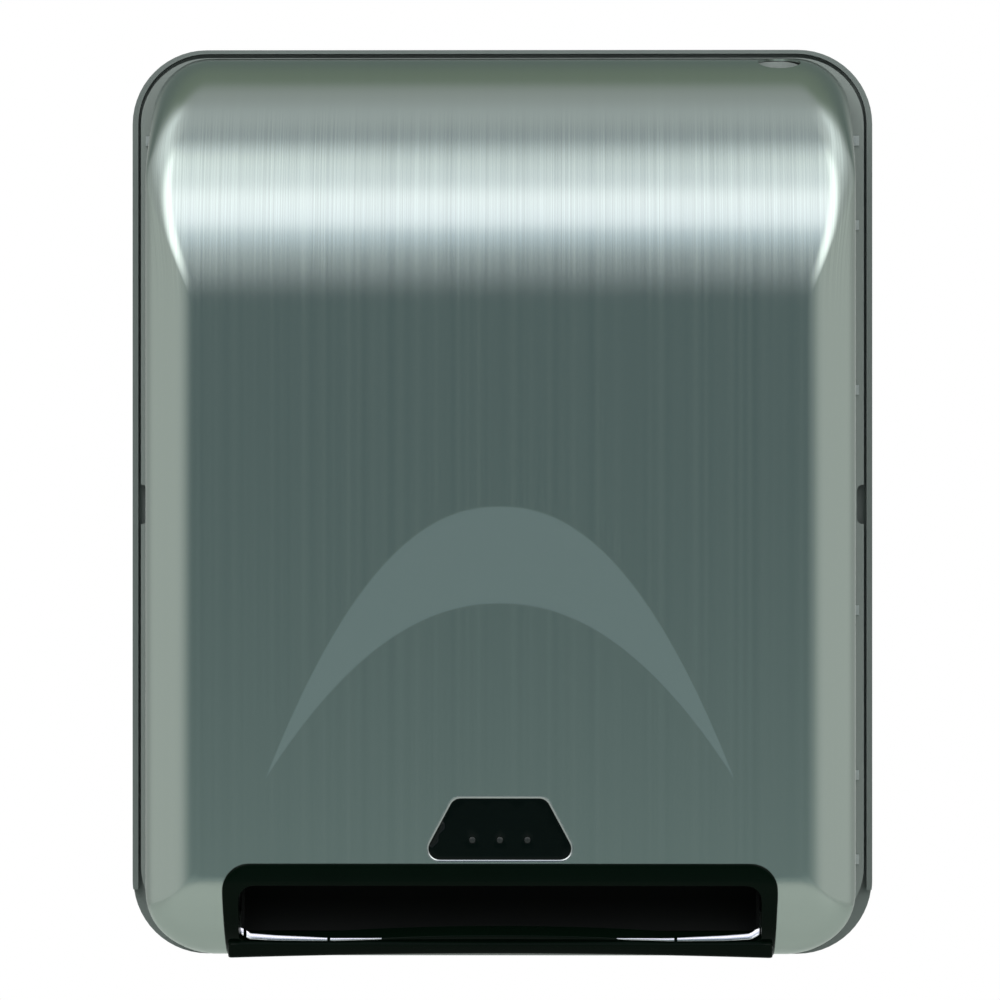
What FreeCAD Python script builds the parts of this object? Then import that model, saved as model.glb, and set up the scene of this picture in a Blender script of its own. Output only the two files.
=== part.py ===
import FreeCAD, Part
import math
import os

# Recessed automatic roll towel dispenser, in millimetres.
# The tub goes into a wall opening and its rim laps the wall. A brushed steel door, hinged
# at its lower edge, closes over the tub. A roll hangs on two sprung arms, and a motor drives
# the towel past a tear bar and out of the mouth at the foot of the door.
# +Z is up and the door faces -Y. The origin is the centre of the four screw holes in the
# back of the tub, on the tub's rear face.

Vec = FreeCAD.Vector

# Overall size
rim_half_width = 169.0
rim_top = 205.6
rim_foot = -207.6
overall_depth = 203.2
wall_plane = -101.0
front_plane = -overall_depth

# Tub
tub_half_width = 150.0
tub_top = 192.0
tub_bottom = -190.0
tub_wall = 2.5
tub_back = -tub_wall
pad_face = -6.0
tub_corner = 12.0
rim_thick = 2.5
rim_face = wall_plane - rim_thick
rim_corner = 34.0
rim_lip_height = 5.5
rim_lip_side = 2.6
rim_lip_top = 1.7
rim_lip_foot = -178.0
wall_hole_spacing_x = 203.2
wall_hole_spacing_z = 304.8
wall_hole_radius = 3.25
side_hole_y = -60.0
side_hole_z = 140.0
side_hole_radius = 2.75
cable_hole_radius = 9.0
cable_hole_x = 60.0
cable_hole_z = -160.0

# Door shell
door_half_width = 158.5
door_top = 201.7
door_bottom = -203.4
door_rear = -106.0
door_side_roll = 23.5
door_foot_roll = 36.2
door_crown_height = 115.0
door_crown_depth = door_rear - front_plane
door_corner = 31.0
door_front_corner = 3.0
top_corner_span = 60.0
skin_thick = 0.9
frame_outer = 1.2
frame_inner = 3.2
door_rim_half_width = 165.1
door_rim_top = 201.9
door_rim_thick = 3.6
skin_rear = door_rear - door_rim_thick - 0.1

# Door hinge
hinge_y = -113.0
hinge_z = -195.2
hinge_pin_radius = 2.0
running_gap = 0.05
lug_half = 2.0
lug_x = 131.0
knuckle_gap = 0.3
knuckle_length = 6.0
knuckle_radius = 5.0
knuckle_reach = lug_half + knuckle_gap + knuckle_length
relief_y = hinge_y + 1.5
relief_z = hinge_z - 1.0

# Mouth in the door
mouth_half_width = 123.2
mouth_foot_half_width = 122.3
mouth_top = -161.1
mouth_corner = 12.0
mouth_cut_back = -158.0
bezel_proud = 0.7
bezel_chin = 1.2
bezel_flange = 2.0
bezel_margin = 4.0
chin_arch = 2.2
rib_height = 3.0
opening_half_width = 116.0
opening_top = -171.0
opening_foot = -194.6
opening_corner = 7.0
fit_gap = 0.15

# Sensor window in the door
window_top = -132.2
window_foot = -159.4
window_top_half = 20.4
window_foot_half = 35.0
window_corner = 5.0
window_trim = 1.3
window_proud = 0.8
window_depth = 3.0
lens_pitch = 12.2
lens_z = -150.6
lens_radius = 1.3

# Lock in the door's top
lock_x = 126.0
lock_y = -128.0
barrel_radius = 9.5
plug_radius = 6.0
lock_head_z = 194.6
lock_boss_foot = 182.0
lock_nut_height = 5.5
lock_nut_flats = 22.0
lock_barrel_foot = 174.0
cam_top = 171.4
cam_thick = 2.4
cam_length = 22.0
cam_width = 8.0
keeper_x = (106.5, 114.0)
keeper_arm_z = (177.0, 181.0)
keeper_post_y = (-139.0, -134.5)
keeper_post_foot = 164.0

# Roll and its arms
roll_half_width = 105.0
roll_axis_y = -101.0
roll_axis_z = 92.0
arm_inner_x = 112.0
arm_thick = 6.0
arm_pivot_x = 121.0
arm_pivot_y = -13.0
arm_pivot_radius = 2.5
arm_knuckle_radius = 6.0
arm_knuckle_half = 16.0
hub_axle_radius = 4.0
hub_flange_radius = 24.0
hub_flange_thick = 3.0
hub_plug_radius = 18.0
hub_nose_radius = 15.0
hub_nose_x = 91.0

# Battery tray, control box and their front panels
tray_x = (-133.0, 0.5)
control_x = (6.0, 133.0)
box_z = (-86.5, -9.5)
box_rear = tub_back
box_front = -42.0
box_wall = 2.0
cell_radius = 16.6
cell_length = 61.0
cell_rows = (-30.2, -65.8)
cell_y = -22.2
nib_length = 1.5
lid_pin_radius = 1.2
board_face = -24.0
signal_z = -70.0
lever_x = -30.0
lever_y = -9.0
lever_z = -3.0
lever_pin_radius = 1.5
panel_thick = 2.0
button_x = 110.0
button_z = -32.0
button_radius = 7.0
button_travel = 2.5
slider_z = (-34.0, -50.0, -66.0)
slider_x = 58.0

# Feed module
plate_x = (116.0, 120.0)
cheek_rear = pad_face
module_foot = -184.0
drive_y = -150.0
drive_z = -112.0
drive_radius = 16.0
drive_shaft_radius = 4.0
pinch_radius = 10.0
pinch_shaft_radius = 3.0
nip_gap = 0.3
carrier_y = -178.0
carrier_z = -92.0
carrier_pin_radius = 2.5
bush_radius = 7.0
gear_module = 0.8
drive_teeth = 54
small_teeth = 18
big_teeth = 51
pinion_teeth = 17
gear_backlash = 0.22
idler_angle = -25.0
motor_angle = -35.0
gear_plane = 121.5
small_gear_width = 6.0
big_gear_plane = 128.5
big_gear_face = big_gear_plane + 5.0
motor_radius = 17.0
motor_length = 50.0
motor_screw_offsets = (-12.5, 12.5)
tag_offset = 10.0
tag_length = 4.0
cover_face = 140.0
guard_face = -188.6
lead_entry = (84.0, -30.0)
lead_radius = 1.6
lead_start_x = 32.0
core_radius = 0.5
blade_thick = 1.2
blade_half = 111.0
blade_teeth = 56
tooth_height = 3.2


def box(x_range, y_range, z_range):
    low = Vec(min(x_range), min(y_range), min(z_range))
    size = [max(r) - min(r) for r in (x_range, y_range, z_range)]
    return Part.makeBox(size[0], size[1], size[2], low)


def rod(axis, centre, radius, span, tip_radius=None):
    """A cylinder or cone along an axis letter; centre holds the other two coordinates in X, Y, Z order."""
    low, high = min(span), max(span)
    if axis == "X":
        start, direction = Vec(low, centre[0], centre[1]), Vec(1, 0, 0)
    elif axis == "Y":
        start, direction = Vec(centre[0], low, centre[1]), Vec(0, 1, 0)
    else:
        start, direction = Vec(centre[0], centre[1], low), Vec(0, 0, 1)
    if tip_radius is None:
        return Part.makeCylinder(radius, high - low, start, direction)
    return Part.makeCone(radius, tip_radius, high - low, start, direction)


def tube(axis, centre, outer, inner, span):
    return rod(axis, centre, outer, span).cut(rod(axis, centre, inner, (min(span) - 1, max(span) + 1)))


def place(plane, u, v, level):
    """A point of a flat outline: XZ outlines lie at a depth y, YZ ones at an x, XY ones at a height."""
    if plane == "XZ":
        return Vec(u, level, v)
    if plane == "YZ":
        return Vec(level, u, v)
    return Vec(u, v, level)


def outline(plane, corners, radii, level):
    """A closed wire through the corners, each rounded by its own radius, in any of the three planes."""
    count = len(corners)
    if not hasattr(radii, "__len__"):
        radii = [radii] * count
    edges = []
    stops = []
    for i, (u, v) in enumerate(corners):
        here = Vec(u, v, 0)
        back = Vec(corners[i - 1][0], corners[i - 1][1], 0) - here
        ahead = Vec(corners[(i + 1) % count][0], corners[(i + 1) % count][1], 0) - here
        back.normalize()
        ahead.normalize()
        if radii[i] <= 0:
            stops.append((here, None, here))
            continue
        half = back.getAngle(ahead) / 2
        run = radii[i] / math.tan(half)
        bisector = back + ahead
        bisector.normalize()
        centre = here + bisector * (radii[i] / math.sin(half))
        stops.append((here + back * run, centre - bisector * radii[i], here + ahead * run))
    for i in range(count):
        start, middle, end = [p and place(plane, p.x, p.y, level) for p in stops[i]]
        if middle:
            edges.append(Part.Arc(start, middle, end).toShape())
        following = stops[(i + 1) % count][0]
        next_start = place(plane, following.x, following.y, level)
        if end.distanceToPoint(next_start) > 1e-6:
            edges.append(Part.LineSegment(end, next_start).toShape())
    return Part.Wire(edges)


def prism(plane, corners, radii, span):
    low, high = min(span), max(span)
    face = Part.Face(outline(plane, corners, radii, low))
    return face.extrude(place(plane, 0, 0, high - low))


def rect(half_width, low, high):
    return [(-half_width, low), (half_width, low), (half_width, high), (-half_width, high)]


def block(u, v, half_width, half_height):
    """The corners of a rectangle round a middle."""
    return [(u - half_width, v - half_height), (u + half_width, v - half_height),
            (u + half_width, v + half_height), (u - half_width, v + half_height)]


def join(shapes):
    shapes = list(shapes)
    return shapes[0].multiFuse(shapes[1:]).removeSplitter() if len(shapes) > 1 else shapes[0]


def mirror_x(shape):
    return shape.mirror(Vec(0, 0, 0), Vec(1, 0, 0))


def screw(axis, centre, head_at, inward, shank_radius, length):
    """A pan head screw: the head stands on the surface at head_at and the shank runs inward."""
    head = sorted((head_at, head_at - inward * shank_radius * 1.2))
    shank = sorted((head_at, head_at + inward * length))
    body = rod(axis, centre, shank_radius * 2, head).fuse(rod(axis, centre, shank_radius, shank))
    top = head_at - inward * shank_radius * 1.2
    slot = sorted((top, top + inward * shank_radius * 0.6))
    across, along = shank_radius * 0.25, shank_radius * 1.4
    for first, second in ((across, along), (along, across)):
        if axis == "Y":
            cut = box((centre[0] - first, centre[0] + first), slot, (centre[1] - second, centre[1] + second))
        elif axis == "X":
            cut = box(slot, (centre[0] - first, centre[0] + first), (centre[1] - second, centre[1] + second))
        else:
            cut = box((centre[0] - first, centre[0] + first), (centre[1] - second, centre[1] + second), slot)
        body = body.cut(cut)
    return body


def coil_spring(axis, centre, span, coil_radius, wire_radius, turns):
    """A round wire coil about an X or Z axis."""
    low = min(span) + wire_radius
    pitch = (max(span) - min(span) - 2 * wire_radius) / turns
    path = Part.makeHelix(pitch, pitch * turns, coil_radius)
    ring = Part.Wire(Part.makeCircle(wire_radius, Vec(coil_radius, 0, 0), Vec(0, 1, 0)))
    coil = Part.Wire(path).makePipeShell([ring], True, True)
    if axis == "X":
        coil.rotate(Vec(0, 0, 0), Vec(0, 1, 0), 90)
        coil.translate(Vec(low, centre[0], centre[1]))
    else:
        coil.translate(Vec(centre[0], centre[1], low))
    return coil


def cable(points, radius):
    """A round lead along straight runs joined by tangent arcs as large as the runs allow."""
    edges = []
    last = points[0]
    for i in range(1, len(points) - 1):
        here = points[i]
        back = points[i - 1] - here
        ahead = points[i + 1] - here
        shorter = min(back.Length, ahead.Length)
        back.normalize()
        ahead.normalize()
        half = back.getAngle(ahead) / 2
        run = 0.45 * shorter
        bend = run * math.tan(half)
        print("lead bend radius", round(bend, 1))
        bisector = back + ahead
        bisector.normalize()
        centre = here + bisector * (bend / math.sin(half))
        edges.append(Part.LineSegment(last, here + back * run).toShape())
        arc = Part.Arc(here + back * run, centre - bisector * bend, here + ahead * run)
        edges.append(arc.toShape())
        last = here + ahead * run
    edges.append(Part.LineSegment(last, points[-1]).toShape())
    ring = Part.Wire(Part.makeCircle(radius, points[0], points[1] - points[0]))
    path = Part.Wire(edges)
    lead = path.makePipeShell([ring], True, True)
    ideal = math.pi * radius * radius * path.Length
    print("lead length", round(path.Length), "volume against section x length", round(lead.Volume / ideal, 4))
    return lead


def belt(first, first_radius, second, second_radius, span):
    """Two discs about X axes and the straight sides that run between them."""
    run = Vec(second[0] - first[0], second[1] - first[1], 0)
    lean = math.acos((first_radius - second_radius) / run.Length)
    heading = math.atan2(run.y, run.x)
    corners = []
    for centre, radius, side in ((first, first_radius, 1), (second, second_radius, 1),
                                 (second, second_radius, -1), (first, first_radius, -1)):
        turn = heading + side * lean
        corners.append((centre[0] + radius * math.cos(turn), centre[1] + radius * math.sin(turn)))
    discs = [rod("X", first, first_radius, span), rod("X", second, second_radius, span)]
    return join([prism("YZ", corners, 0, span)] + discs)


def gear(teeth, centre, span, tooth_at, bore):
    """A spur gear about an X axis; tooth_at is the angle, in radians, at which one tooth is centred."""
    pitch = gear_module * teeth / 2
    base = pitch * math.cos(math.radians(20))
    tip = pitch + gear_module * 0.95
    root = pitch - gear_module * 1.25
    roll = math.tan(math.radians(20)) - math.radians(20)
    half_pitch = math.pi / 2 / teeth - gear_backlash / 4 / pitch

    def half_angle(radius):
        turn = math.acos(min(1.0, base / radius))
        return half_pitch + roll - (math.tan(turn) - turn)

    def at(radius, angle):
        y = centre[0] + radius * math.cos(angle)
        return Vec(min(span), y, centre[1] + radius * math.sin(angle))

    edges = []
    foot = max(base, root)
    steps = [foot + (tip - foot) * i / 4 for i in range(5)]
    for i in range(teeth):
        middle = tooth_at + 2 * math.pi * i / teeth
        following = tooth_at + 2 * math.pi * (i + 1) / teeth
        rising = [at(r, middle - half_angle(r)) for r in steps]
        falling = [at(r, middle + half_angle(r)) for r in reversed(steps)]
        low = half_angle(foot)
        if root < foot:
            edges.append(Part.LineSegment(at(root, middle - low), rising[0]).toShape())
        curve = Part.BSplineCurve()
        curve.interpolate(rising)
        edges.append(curve.toShape())
        edges.append(Part.Arc(rising[-1], at(tip, middle), falling[0]).toShape())
        curve = Part.BSplineCurve()
        curve.interpolate(falling)
        edges.append(curve.toShape())
        if root < foot:
            edges.append(Part.LineSegment(falling[-1], at(root, middle + low)).toShape())
        bottom = at(root, (middle + following) / 2)
        edges.append(Part.Arc(at(root, middle + low), bottom, at(root, following - low)).toShape())
    face = Part.Face(Part.Wire(edges))
    solid = face.extrude(Vec(max(span) - min(span), 0, 0))
    return solid.cut(rod("X", centre, bore, (min(span) - 1, max(span) + 1)))


def roll_in(depth, depth_radius, inset_radius):
    """How far an edge has still to roll out at a depth behind the front: a quarter ellipse."""
    if depth >= depth_radius:
        return 0.0
    return inset_radius * (1 - math.sqrt(max(0.0, 1 - ((depth_radius - depth) / depth_radius) ** 2)))


def door_section(depth, wall):
    """The door's outline at a depth behind its front, taken in all round by the wall thickness."""
    inner = depth - wall
    side = door_half_width - wall - roll_in(inner, door_side_roll - wall, door_side_roll - wall)
    top = door_top - wall - roll_in(inner, door_crown_depth - wall, door_crown_height - wall)
    foot = door_bottom + wall + roll_in(inner, door_foot_roll - wall, door_foot_roll - wall)

    def corner(span):
        grown = math.sin(min(max(inner, 0) / span, 1) * math.pi / 2)
        return door_front_corner + (door_corner - wall - door_front_corner) * grown

    low, high = corner(door_foot_roll), corner(top_corner_span)
    return outline("XZ", rect(side, foot, top), [low, low, high, high], front_plane + depth)


def door_solid(wall, rear=door_rear):
    """The whole door as one filled solid, taken in all round by the wall thickness."""
    roll = door_side_roll - wall
    depths = [roll * (1 - math.cos(math.radians(11.25 * i))) for i in range(9)]
    step = (rear - front_plane - wall - roll) / 14
    depths += [roll + step * (i + 1) for i in range(14)]
    return Part.makeLoft([door_section(wall + depth, wall) for depth in depths], True, False)


def mouth_corners(grow):
    """The mouth's cut-out in the door, grown by a margin, running off the door's foot."""
    half, foot = mouth_half_width + grow, mouth_foot_half_width + grow
    below = door_bottom - 20
    return [(-foot, below), (foot, below), (foot, door_bottom + 2), (half, -176.0),
            (half, mouth_top + grow), (-half, mouth_top + grow), (-half, -176.0), (-foot, door_bottom + 2)]


def mouth_prism(grow, y_range):
    r = mouth_corner + grow
    return prism("XZ", mouth_corners(grow), [0, 0, 0, 4.0, r, r, 4.0, 0], y_range)


def window_prism(grow, y_range):
    """The window's trapezium with rounded corners, grown by a margin."""
    slope = (window_foot_half - window_top_half) / (window_top - window_foot)
    side = grow * math.sqrt(1 + slope * slope)
    foot_half = window_foot_half + side + grow * slope
    top_half = window_top_half + side - grow * slope
    corners = [(-foot_half, window_foot - grow), (foot_half, window_foot - grow),
               (top_half, window_top + grow), (-top_half, window_top + grow)]
    return prism("XZ", corners, window_corner + grow, y_range)


def cheek_screw_places():
    """Where the feed module's feet screw to the tub's back, as X and Z."""
    return [(side * (plate_x[1] + 8), z) for side in (-1, 1) for z in (-110.0, -174.0)]


def bracket_screw_places():
    return [(side * arm_pivot_x, roll_axis_z + dz) for side in (-1, 1) for dz in (-44.0, 30.0)]


def box_screw_places():
    """Two screws in the back of the battery tray and two in the control box."""
    middles = [sum(tray_x) / 2, sum(control_x) / 2]
    return [(x, z) for x in middles for z in (box_z[0] + 6.0, box_z[1] - 6.0)]


def all_back_screws():
    return cheek_screw_places() + bracket_screw_places() + box_screw_places()


def keeper_screw_places():
    """Two screws that hold the lock's keeper to the tub's ceiling, as X and Y."""
    return [(sum(keeper_x) / 2, y) for y in (-90.0, -76.0)]


def wall_tub():
    """The recessed tub with its wall rim, door lugs and screw pads, moulded in one."""
    shell = prism("XZ", rect(tub_half_width, tub_bottom, tub_top), tub_corner, (wall_plane, 0))
    rim_shape = rect(rim_half_width, rim_foot, rim_top)
    rim = prism("XZ", rim_shape, rim_corner, (rim_face, wall_plane))
    lip = prism("XZ", rim_shape, rim_corner, (rim_face - rim_lip_height, rim_face))
    lip_inner = rect(rim_half_width - rim_lip_side, rim_foot - 10, rim_top - rim_lip_top)
    lip = lip.cut(prism("XZ", lip_inner, rim_corner - 2, (rim_face - 10, rim_face + 1)))
    lip = lip.cut(box((-200, 200), (-120, -90), (-220, rim_lip_foot)))
    inner = rect(tub_half_width - tub_wall, tub_bottom + tub_wall, tub_top - tub_wall)
    hollow = prism("XZ", inner, tub_corner - tub_wall, (rim_face - 1, tub_back))
    tub = join([shell, rim, lip]).cut(hollow)
    added = []
    for side in (-1, 1):
        across = (side * lug_x - lug_half, side * lug_x + lug_half)
        web = [(rim_face, hinge_z - 5.5), (hinge_y, hinge_z - 5.5), (hinge_y, hinge_z + 5.5),
               (rim_face, hinge_z + 12)]
        added.append(prism("YZ", web, 0, across))
        added.append(rod("X", (hinge_y, hinge_z), 5.5, across))
    added += [rod("Y", place_xz, 6.5, (pad_face, tub_back)) for place_xz in cheek_screw_places()]
    tub = join([tub] + added)
    cuts = [rod("X", (hinge_y, hinge_z), hinge_pin_radius + running_gap, (-150, 150)),
            rod("Y", (cable_hole_x, cable_hole_z), cable_hole_radius, (-10, 5))]
    cuts += [rod("Y", place_xz, 2.05, (pad_face - 1, -1.0)) for place_xz in all_back_screws()]
    cuts += [rod("Z", place_xy, 1.55, (180, tub_top - 0.8)) for place_xy in keeper_screw_places()]
    for x in (-wall_hole_spacing_x / 2, wall_hole_spacing_x / 2):
        for z in (-wall_hole_spacing_z / 2, wall_hole_spacing_z / 2):
            cuts.append(rod("Y", (x, z), wall_hole_radius, (-10, 5)))
    for z in (-side_hole_z, side_hole_z):
        cuts.append(rod("X", (side_hole_y, z), side_hole_radius, (-160, 160)))
    return tub.cut(Part.makeCompound(cuts))


def cable_grommet():
    """A rubber grommet that lines the hole for an optional low voltage lead."""
    centre = (cable_hole_x, cable_hole_z)
    waist = tube("Y", centre, cable_hole_radius - 0.1, 5.0, (-tub_wall, -0.05))
    front = tube("Y", centre, cable_hole_radius + 2.5, 5.0, (-tub_wall - 2.2, -tub_wall))
    return join([waist, front])


def lock_keeper():
    """The steel hook behind which the lock's cam turns, screwed to the tub's ceiling."""
    ceiling = tub_top - tub_wall
    foot = box(keeper_x, (-98, -70), (ceiling - 2.5, ceiling))
    web = box(keeper_x, (-98, -94), (keeper_arm_z[0], ceiling))
    arm = box(keeper_x, (keeper_post_y[0], -94), keeper_arm_z)
    post = box(keeper_x, keeper_post_y, (keeper_post_foot, keeper_arm_z[1]))
    keeper = join([foot, web, arm, post])
    holes = [rod("Z", place_xy, 1.55, (ceiling - 4, ceiling + 1)) for place_xy in keeper_screw_places()]
    return keeper.cut(Part.makeCompound(holes))


def arm_brackets():
    """The brackets of the roll arms, each with two pin ears and a post for its spring."""
    made = []
    for side in (-1, 1):
        x = side * arm_pivot_x
        parts = [box((x - 9, x + 9), (tub_back, tub_back - 3), (roll_axis_z - 50, roll_axis_z + 36))]
        for low, high in ((-22, -arm_knuckle_half - 0.4), (arm_knuckle_half + 0.4, 22)):
            span = (roll_axis_z + low, roll_axis_z + high)
            parts.append(box((x - 6, x + 6), (tub_back - 3, arm_pivot_y), span))
            parts.append(rod("Z", (x, arm_pivot_y), 6.0, span))
        z = roll_axis_z
        parts.append(rod("Z", (x, arm_pivot_y), 2.4, (z - 33, z - 23.1)))
        parts.append(box((x - 5, x + 5), (tub_back - 2, arm_pivot_y - 4), (z - 36, z - 33)))
        bore = rod("Z", (x, arm_pivot_y), arm_pivot_radius + running_gap, (z - 23.05, z + 40))
        made.append(join(parts).cut(bore))
    brackets = Part.makeCompound(made)
    holes = [rod("Y", place_xz, 2.05, (-10, 0)) for place_xz in bracket_screw_places()]
    return brackets.cut(Part.makeCompound(holes))


def arm_pivot_pins():
    made = []
    for side in (-1, 1):
        centre = (side * arm_pivot_x, arm_pivot_y)
        shank = rod("Z", centre, arm_pivot_radius, (roll_axis_z - 23, roll_axis_z + 22.1))
        head = rod("Z", centre, arm_pivot_radius + 1.5, (roll_axis_z + 22.1, roll_axis_z + 24))
        made.append(shank.fuse(head))
    return Part.makeCompound(made)


def roll_arm(side):
    """A swinging arm that carries one end of the roll on a stub axle."""
    x_in, x_out = arm_inner_x, arm_inner_x + arm_thick
    z = roll_axis_z
    side_view = [(arm_pivot_y - 2, z - 15), (arm_pivot_y - 2, z + 15), (-86, z + 13), (-115, z + 13),
                 (-115, z - 13), (-86, z - 13)]
    plate = prism("YZ", side_view, [0, 0, 0, 12.5, 12.5, 0], (x_in, x_out))
    window = [(-30, z - 7), (-30, z + 7), (-74, z + 6), (-74, z - 6)]
    plate = plate.cut(prism("YZ", window, 3.0, (x_in - 1, x_out - 2)))
    pivot = (arm_pivot_x, arm_pivot_y)
    knuckle = rod("Z", pivot, arm_knuckle_radius, (z - arm_knuckle_half, z + arm_knuckle_half))
    web = box((x_in, arm_pivot_x + 3), (arm_pivot_y - 12, arm_pivot_y), (z - 15, z + 15))
    rib_top = box((x_out, x_out + 3), (-100, arm_pivot_y - 12), (z + 9, z + 11.5))
    rib_foot = box((x_out, x_out + 3), (-100, arm_pivot_y - 12), (z - 11.5, z - 9))
    thumb = box((x_out, x_out + 6), (-113, -109.5), (z - 9, z + 9))
    boss = rod("X", (roll_axis_y, z), 8.0, (x_in - 2.8, x_in))
    axle = rod("X", (roll_axis_y, z), hub_axle_radius, (hub_nose_x + 5, x_in))
    arm = join([plate, knuckle, web, rib_top, rib_foot, thumb, boss, axle])
    arm = arm.cut(rod("Z", pivot, arm_pivot_radius + running_gap, (0, 180)))
    return arm if side > 0 else mirror_x(arm)


def roll_hub(side):
    """The plug that fills the roll's core and turns on the arm's axle."""
    centre = (roll_axis_y, roll_axis_z)
    flange_x = roll_half_width + 0.5
    flange = rod("X", centre, hub_flange_radius, (flange_x, flange_x + hub_flange_thick))
    plug = rod("X", centre, hub_nose_radius, (hub_nose_x, hub_nose_x + 5), hub_plug_radius)
    barrel = rod("X", centre, hub_plug_radius, (hub_nose_x + 5, flange_x))
    hub = join([flange, plug, barrel])
    hub = hub.cut(rod("X", centre, hub_axle_radius + running_gap, (hub_nose_x + 4.5, 130)))
    hub = hub.cut(tube("X", centre, hub_plug_radius - 2.2, hub_axle_radius + 2.2, (hub_nose_x + 6, 130)))
    spokes = []
    for i in range(6):
        reach = (hub_axle_radius + 2, hub_plug_radius - 2)
        spoke = box((hub_nose_x + 5, flange_x + 0.5), (-0.8, 0.8), reach)
        spoke.rotate(Vec(0, 0, 0), Vec(1, 0, 0), 60 * i)
        spoke.translate(Vec(0, roll_axis_y, roll_axis_z))
        spokes.append(spoke)
    for i in range(4):
        hole = rod("X", (0, 20.5), 1.6, (100, 115))
        hole.rotate(Vec(0, 0, 0), Vec(1, 0, 0), 90 * i + 45)
        hole.translate(Vec(0, roll_axis_y, roll_axis_z))
        hub = hub.cut(hole)
    hub = join([hub] + spokes)
    return hub if side > 0 else mirror_x(hub)


def arm_springs():
    """A coil below each arm's knuckle, on its bracket's post."""
    span = (roll_axis_z - 32.7, roll_axis_z - 22.6)
    return Part.makeCompound([coil_spring("Z", (side * arm_pivot_x, arm_pivot_y), span, 3.8, 0.7, 5)
                              for side in (-1, 1)])


def open_box(x_range):
    outer = box(x_range, (box_rear, box_front), box_z)
    inner = box((x_range[0] + box_wall, x_range[1] - box_wall), (box_rear - box_wall, box_front - 1),
                (box_z[0] + box_wall, box_z[1] - box_wall))
    return outer.cut(inner)


def battery_tray():
    """The cells' tray, with ears for its lid at the foot and for the low roll lever on top."""
    tray = open_box(tray_x)
    shelf_z = sum(cell_rows) / 2
    parts = [tray, box((tray_x[0] + 1, tray_x[1] - 1), (box_rear - 1, -30), (shelf_z - 0.7, shelf_z + 0.7))]
    y, z = lid_axis()
    for low, high in lid_ear_spans():
        parts.append(box((low, high), (box_front + 0.5, y), (z - 2.4, z + 2.4)))
        parts.append(rod("X", (y, z), 2.4, (low, high)))
    for low, high in lever_ear_spans():
        parts.append(box((low, high), (box_rear, lever_y), (box_z[1] - 0.5, lever_z + 3.6)))
        parts.append(box((low, high), (lever_y - 3.6, lever_y), (box_z[1] - 0.5, lever_z)))
        parts.append(rod("X", (lever_y, lever_z), 3.6, (low, high)))
    cuts = [rod("X", (y, z), lid_pin_radius + running_gap, (tray_x[0] - 1, tray_x[1] + 1)),
            rod("X", (lever_y, lever_z), lever_pin_radius + running_gap, (lever_x - 20, lever_x + 20))]
    cuts += [rod("Y", place_xz, 2.05, (-10, 0)) for place_xz in box_screw_places()[:2]]
    return join(parts).cut(Part.makeCompound(cuts))


def battery_cells():
    """Four large round cells in two rows, the rows the opposite way round."""
    made = []
    middle = sum(tray_x) / 2
    for row, z in enumerate(cell_rows):
        for x0 in (middle - cell_length - 0.6, middle + 1.6):
            flip = row == 1
            start = x0 + (nib_length if flip else 0.0)
            body = rod("X", (cell_y, z), cell_radius, (start, start + cell_length - nib_length))
            tip = (x0, x0 + nib_length) if flip else (x0 + cell_length - nib_length, x0 + cell_length)
            made.append(join([body, rod("X", (cell_y, z), 4.6, tip)]))
    return Part.makeCompound(made)


def battery_contacts():
    """Sprung contact plates at both ends of each row."""
    made = []
    for z in cell_rows:
        left = tray_x[0] + box_wall
        right = tray_x[1] - box_wall
        for near, plate, ring in ((left, left + 0.8, left + 2.0), (right, right - 0.8, right - 2.0)):
            leaf = box((near, plate), (cell_y + 10, cell_y - 10), (z - 10, z + 10))
            made.append(join([leaf, tube("X", (cell_y, z), 6.0, 4.6, (plate, ring))]))
    return Part.makeCompound(made)


def battery_lid():
    """The tray's lid, on stub pins at its foot, with a finger catch at the top."""
    back = box_front - 0.3
    front = back - panel_thick
    corners = [(tray_x[0], box_z[0] + 3), (tray_x[1], box_z[0] + 3), (tray_x[1], box_z[1] - 0.5),
               (tray_x[0], box_z[1] - 0.5)]
    face = prism("XZ", corners, 4.0, (front, back))
    middle = sum(tray_x) / 2
    hook = [(front + 0.3, -17), (front - 3.2, -13.5), (front - 3.2, -11.5), (front + 0.3, -11.5)]
    catch = prism("YZ", hook, 0, (middle - 12, middle + 12))
    ribs = [box((tray_x[0] + 12 + 21 * i, tray_x[0] + 14 + 21 * i), (front - 0.9, front + 0.2), (-76, -24))
            for i in range(6)]
    y, z = lid_axis()
    inside = (lid_ear_spans()[0][1] + 0.5, lid_ear_spans()[1][0] - 0.5)
    barrel = rod("X", (y, z), 2.4, inside)
    neck = box(inside, (y - 0.8, back), (z, box_z[0] + 4.5))
    pins = rod("X", (y, z), lid_pin_radius, (lid_ear_spans()[0][0] + 0.5, lid_ear_spans()[1][1] - 0.5))
    return join([face, catch, barrel, neck, pins] + ribs)


def lid_axis():
    return (box_front - 2.6, box_z[0] + 0.4)


def lid_ear_spans():
    return [(tray_x[0] + 1, tray_x[0] + 7), (tray_x[1] - 7, tray_x[1] - 1)]


def lever_ear_spans():
    return [(lever_x - 10.5, lever_x - 8), (lever_x + 8, lever_x + 10.5)]


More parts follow.
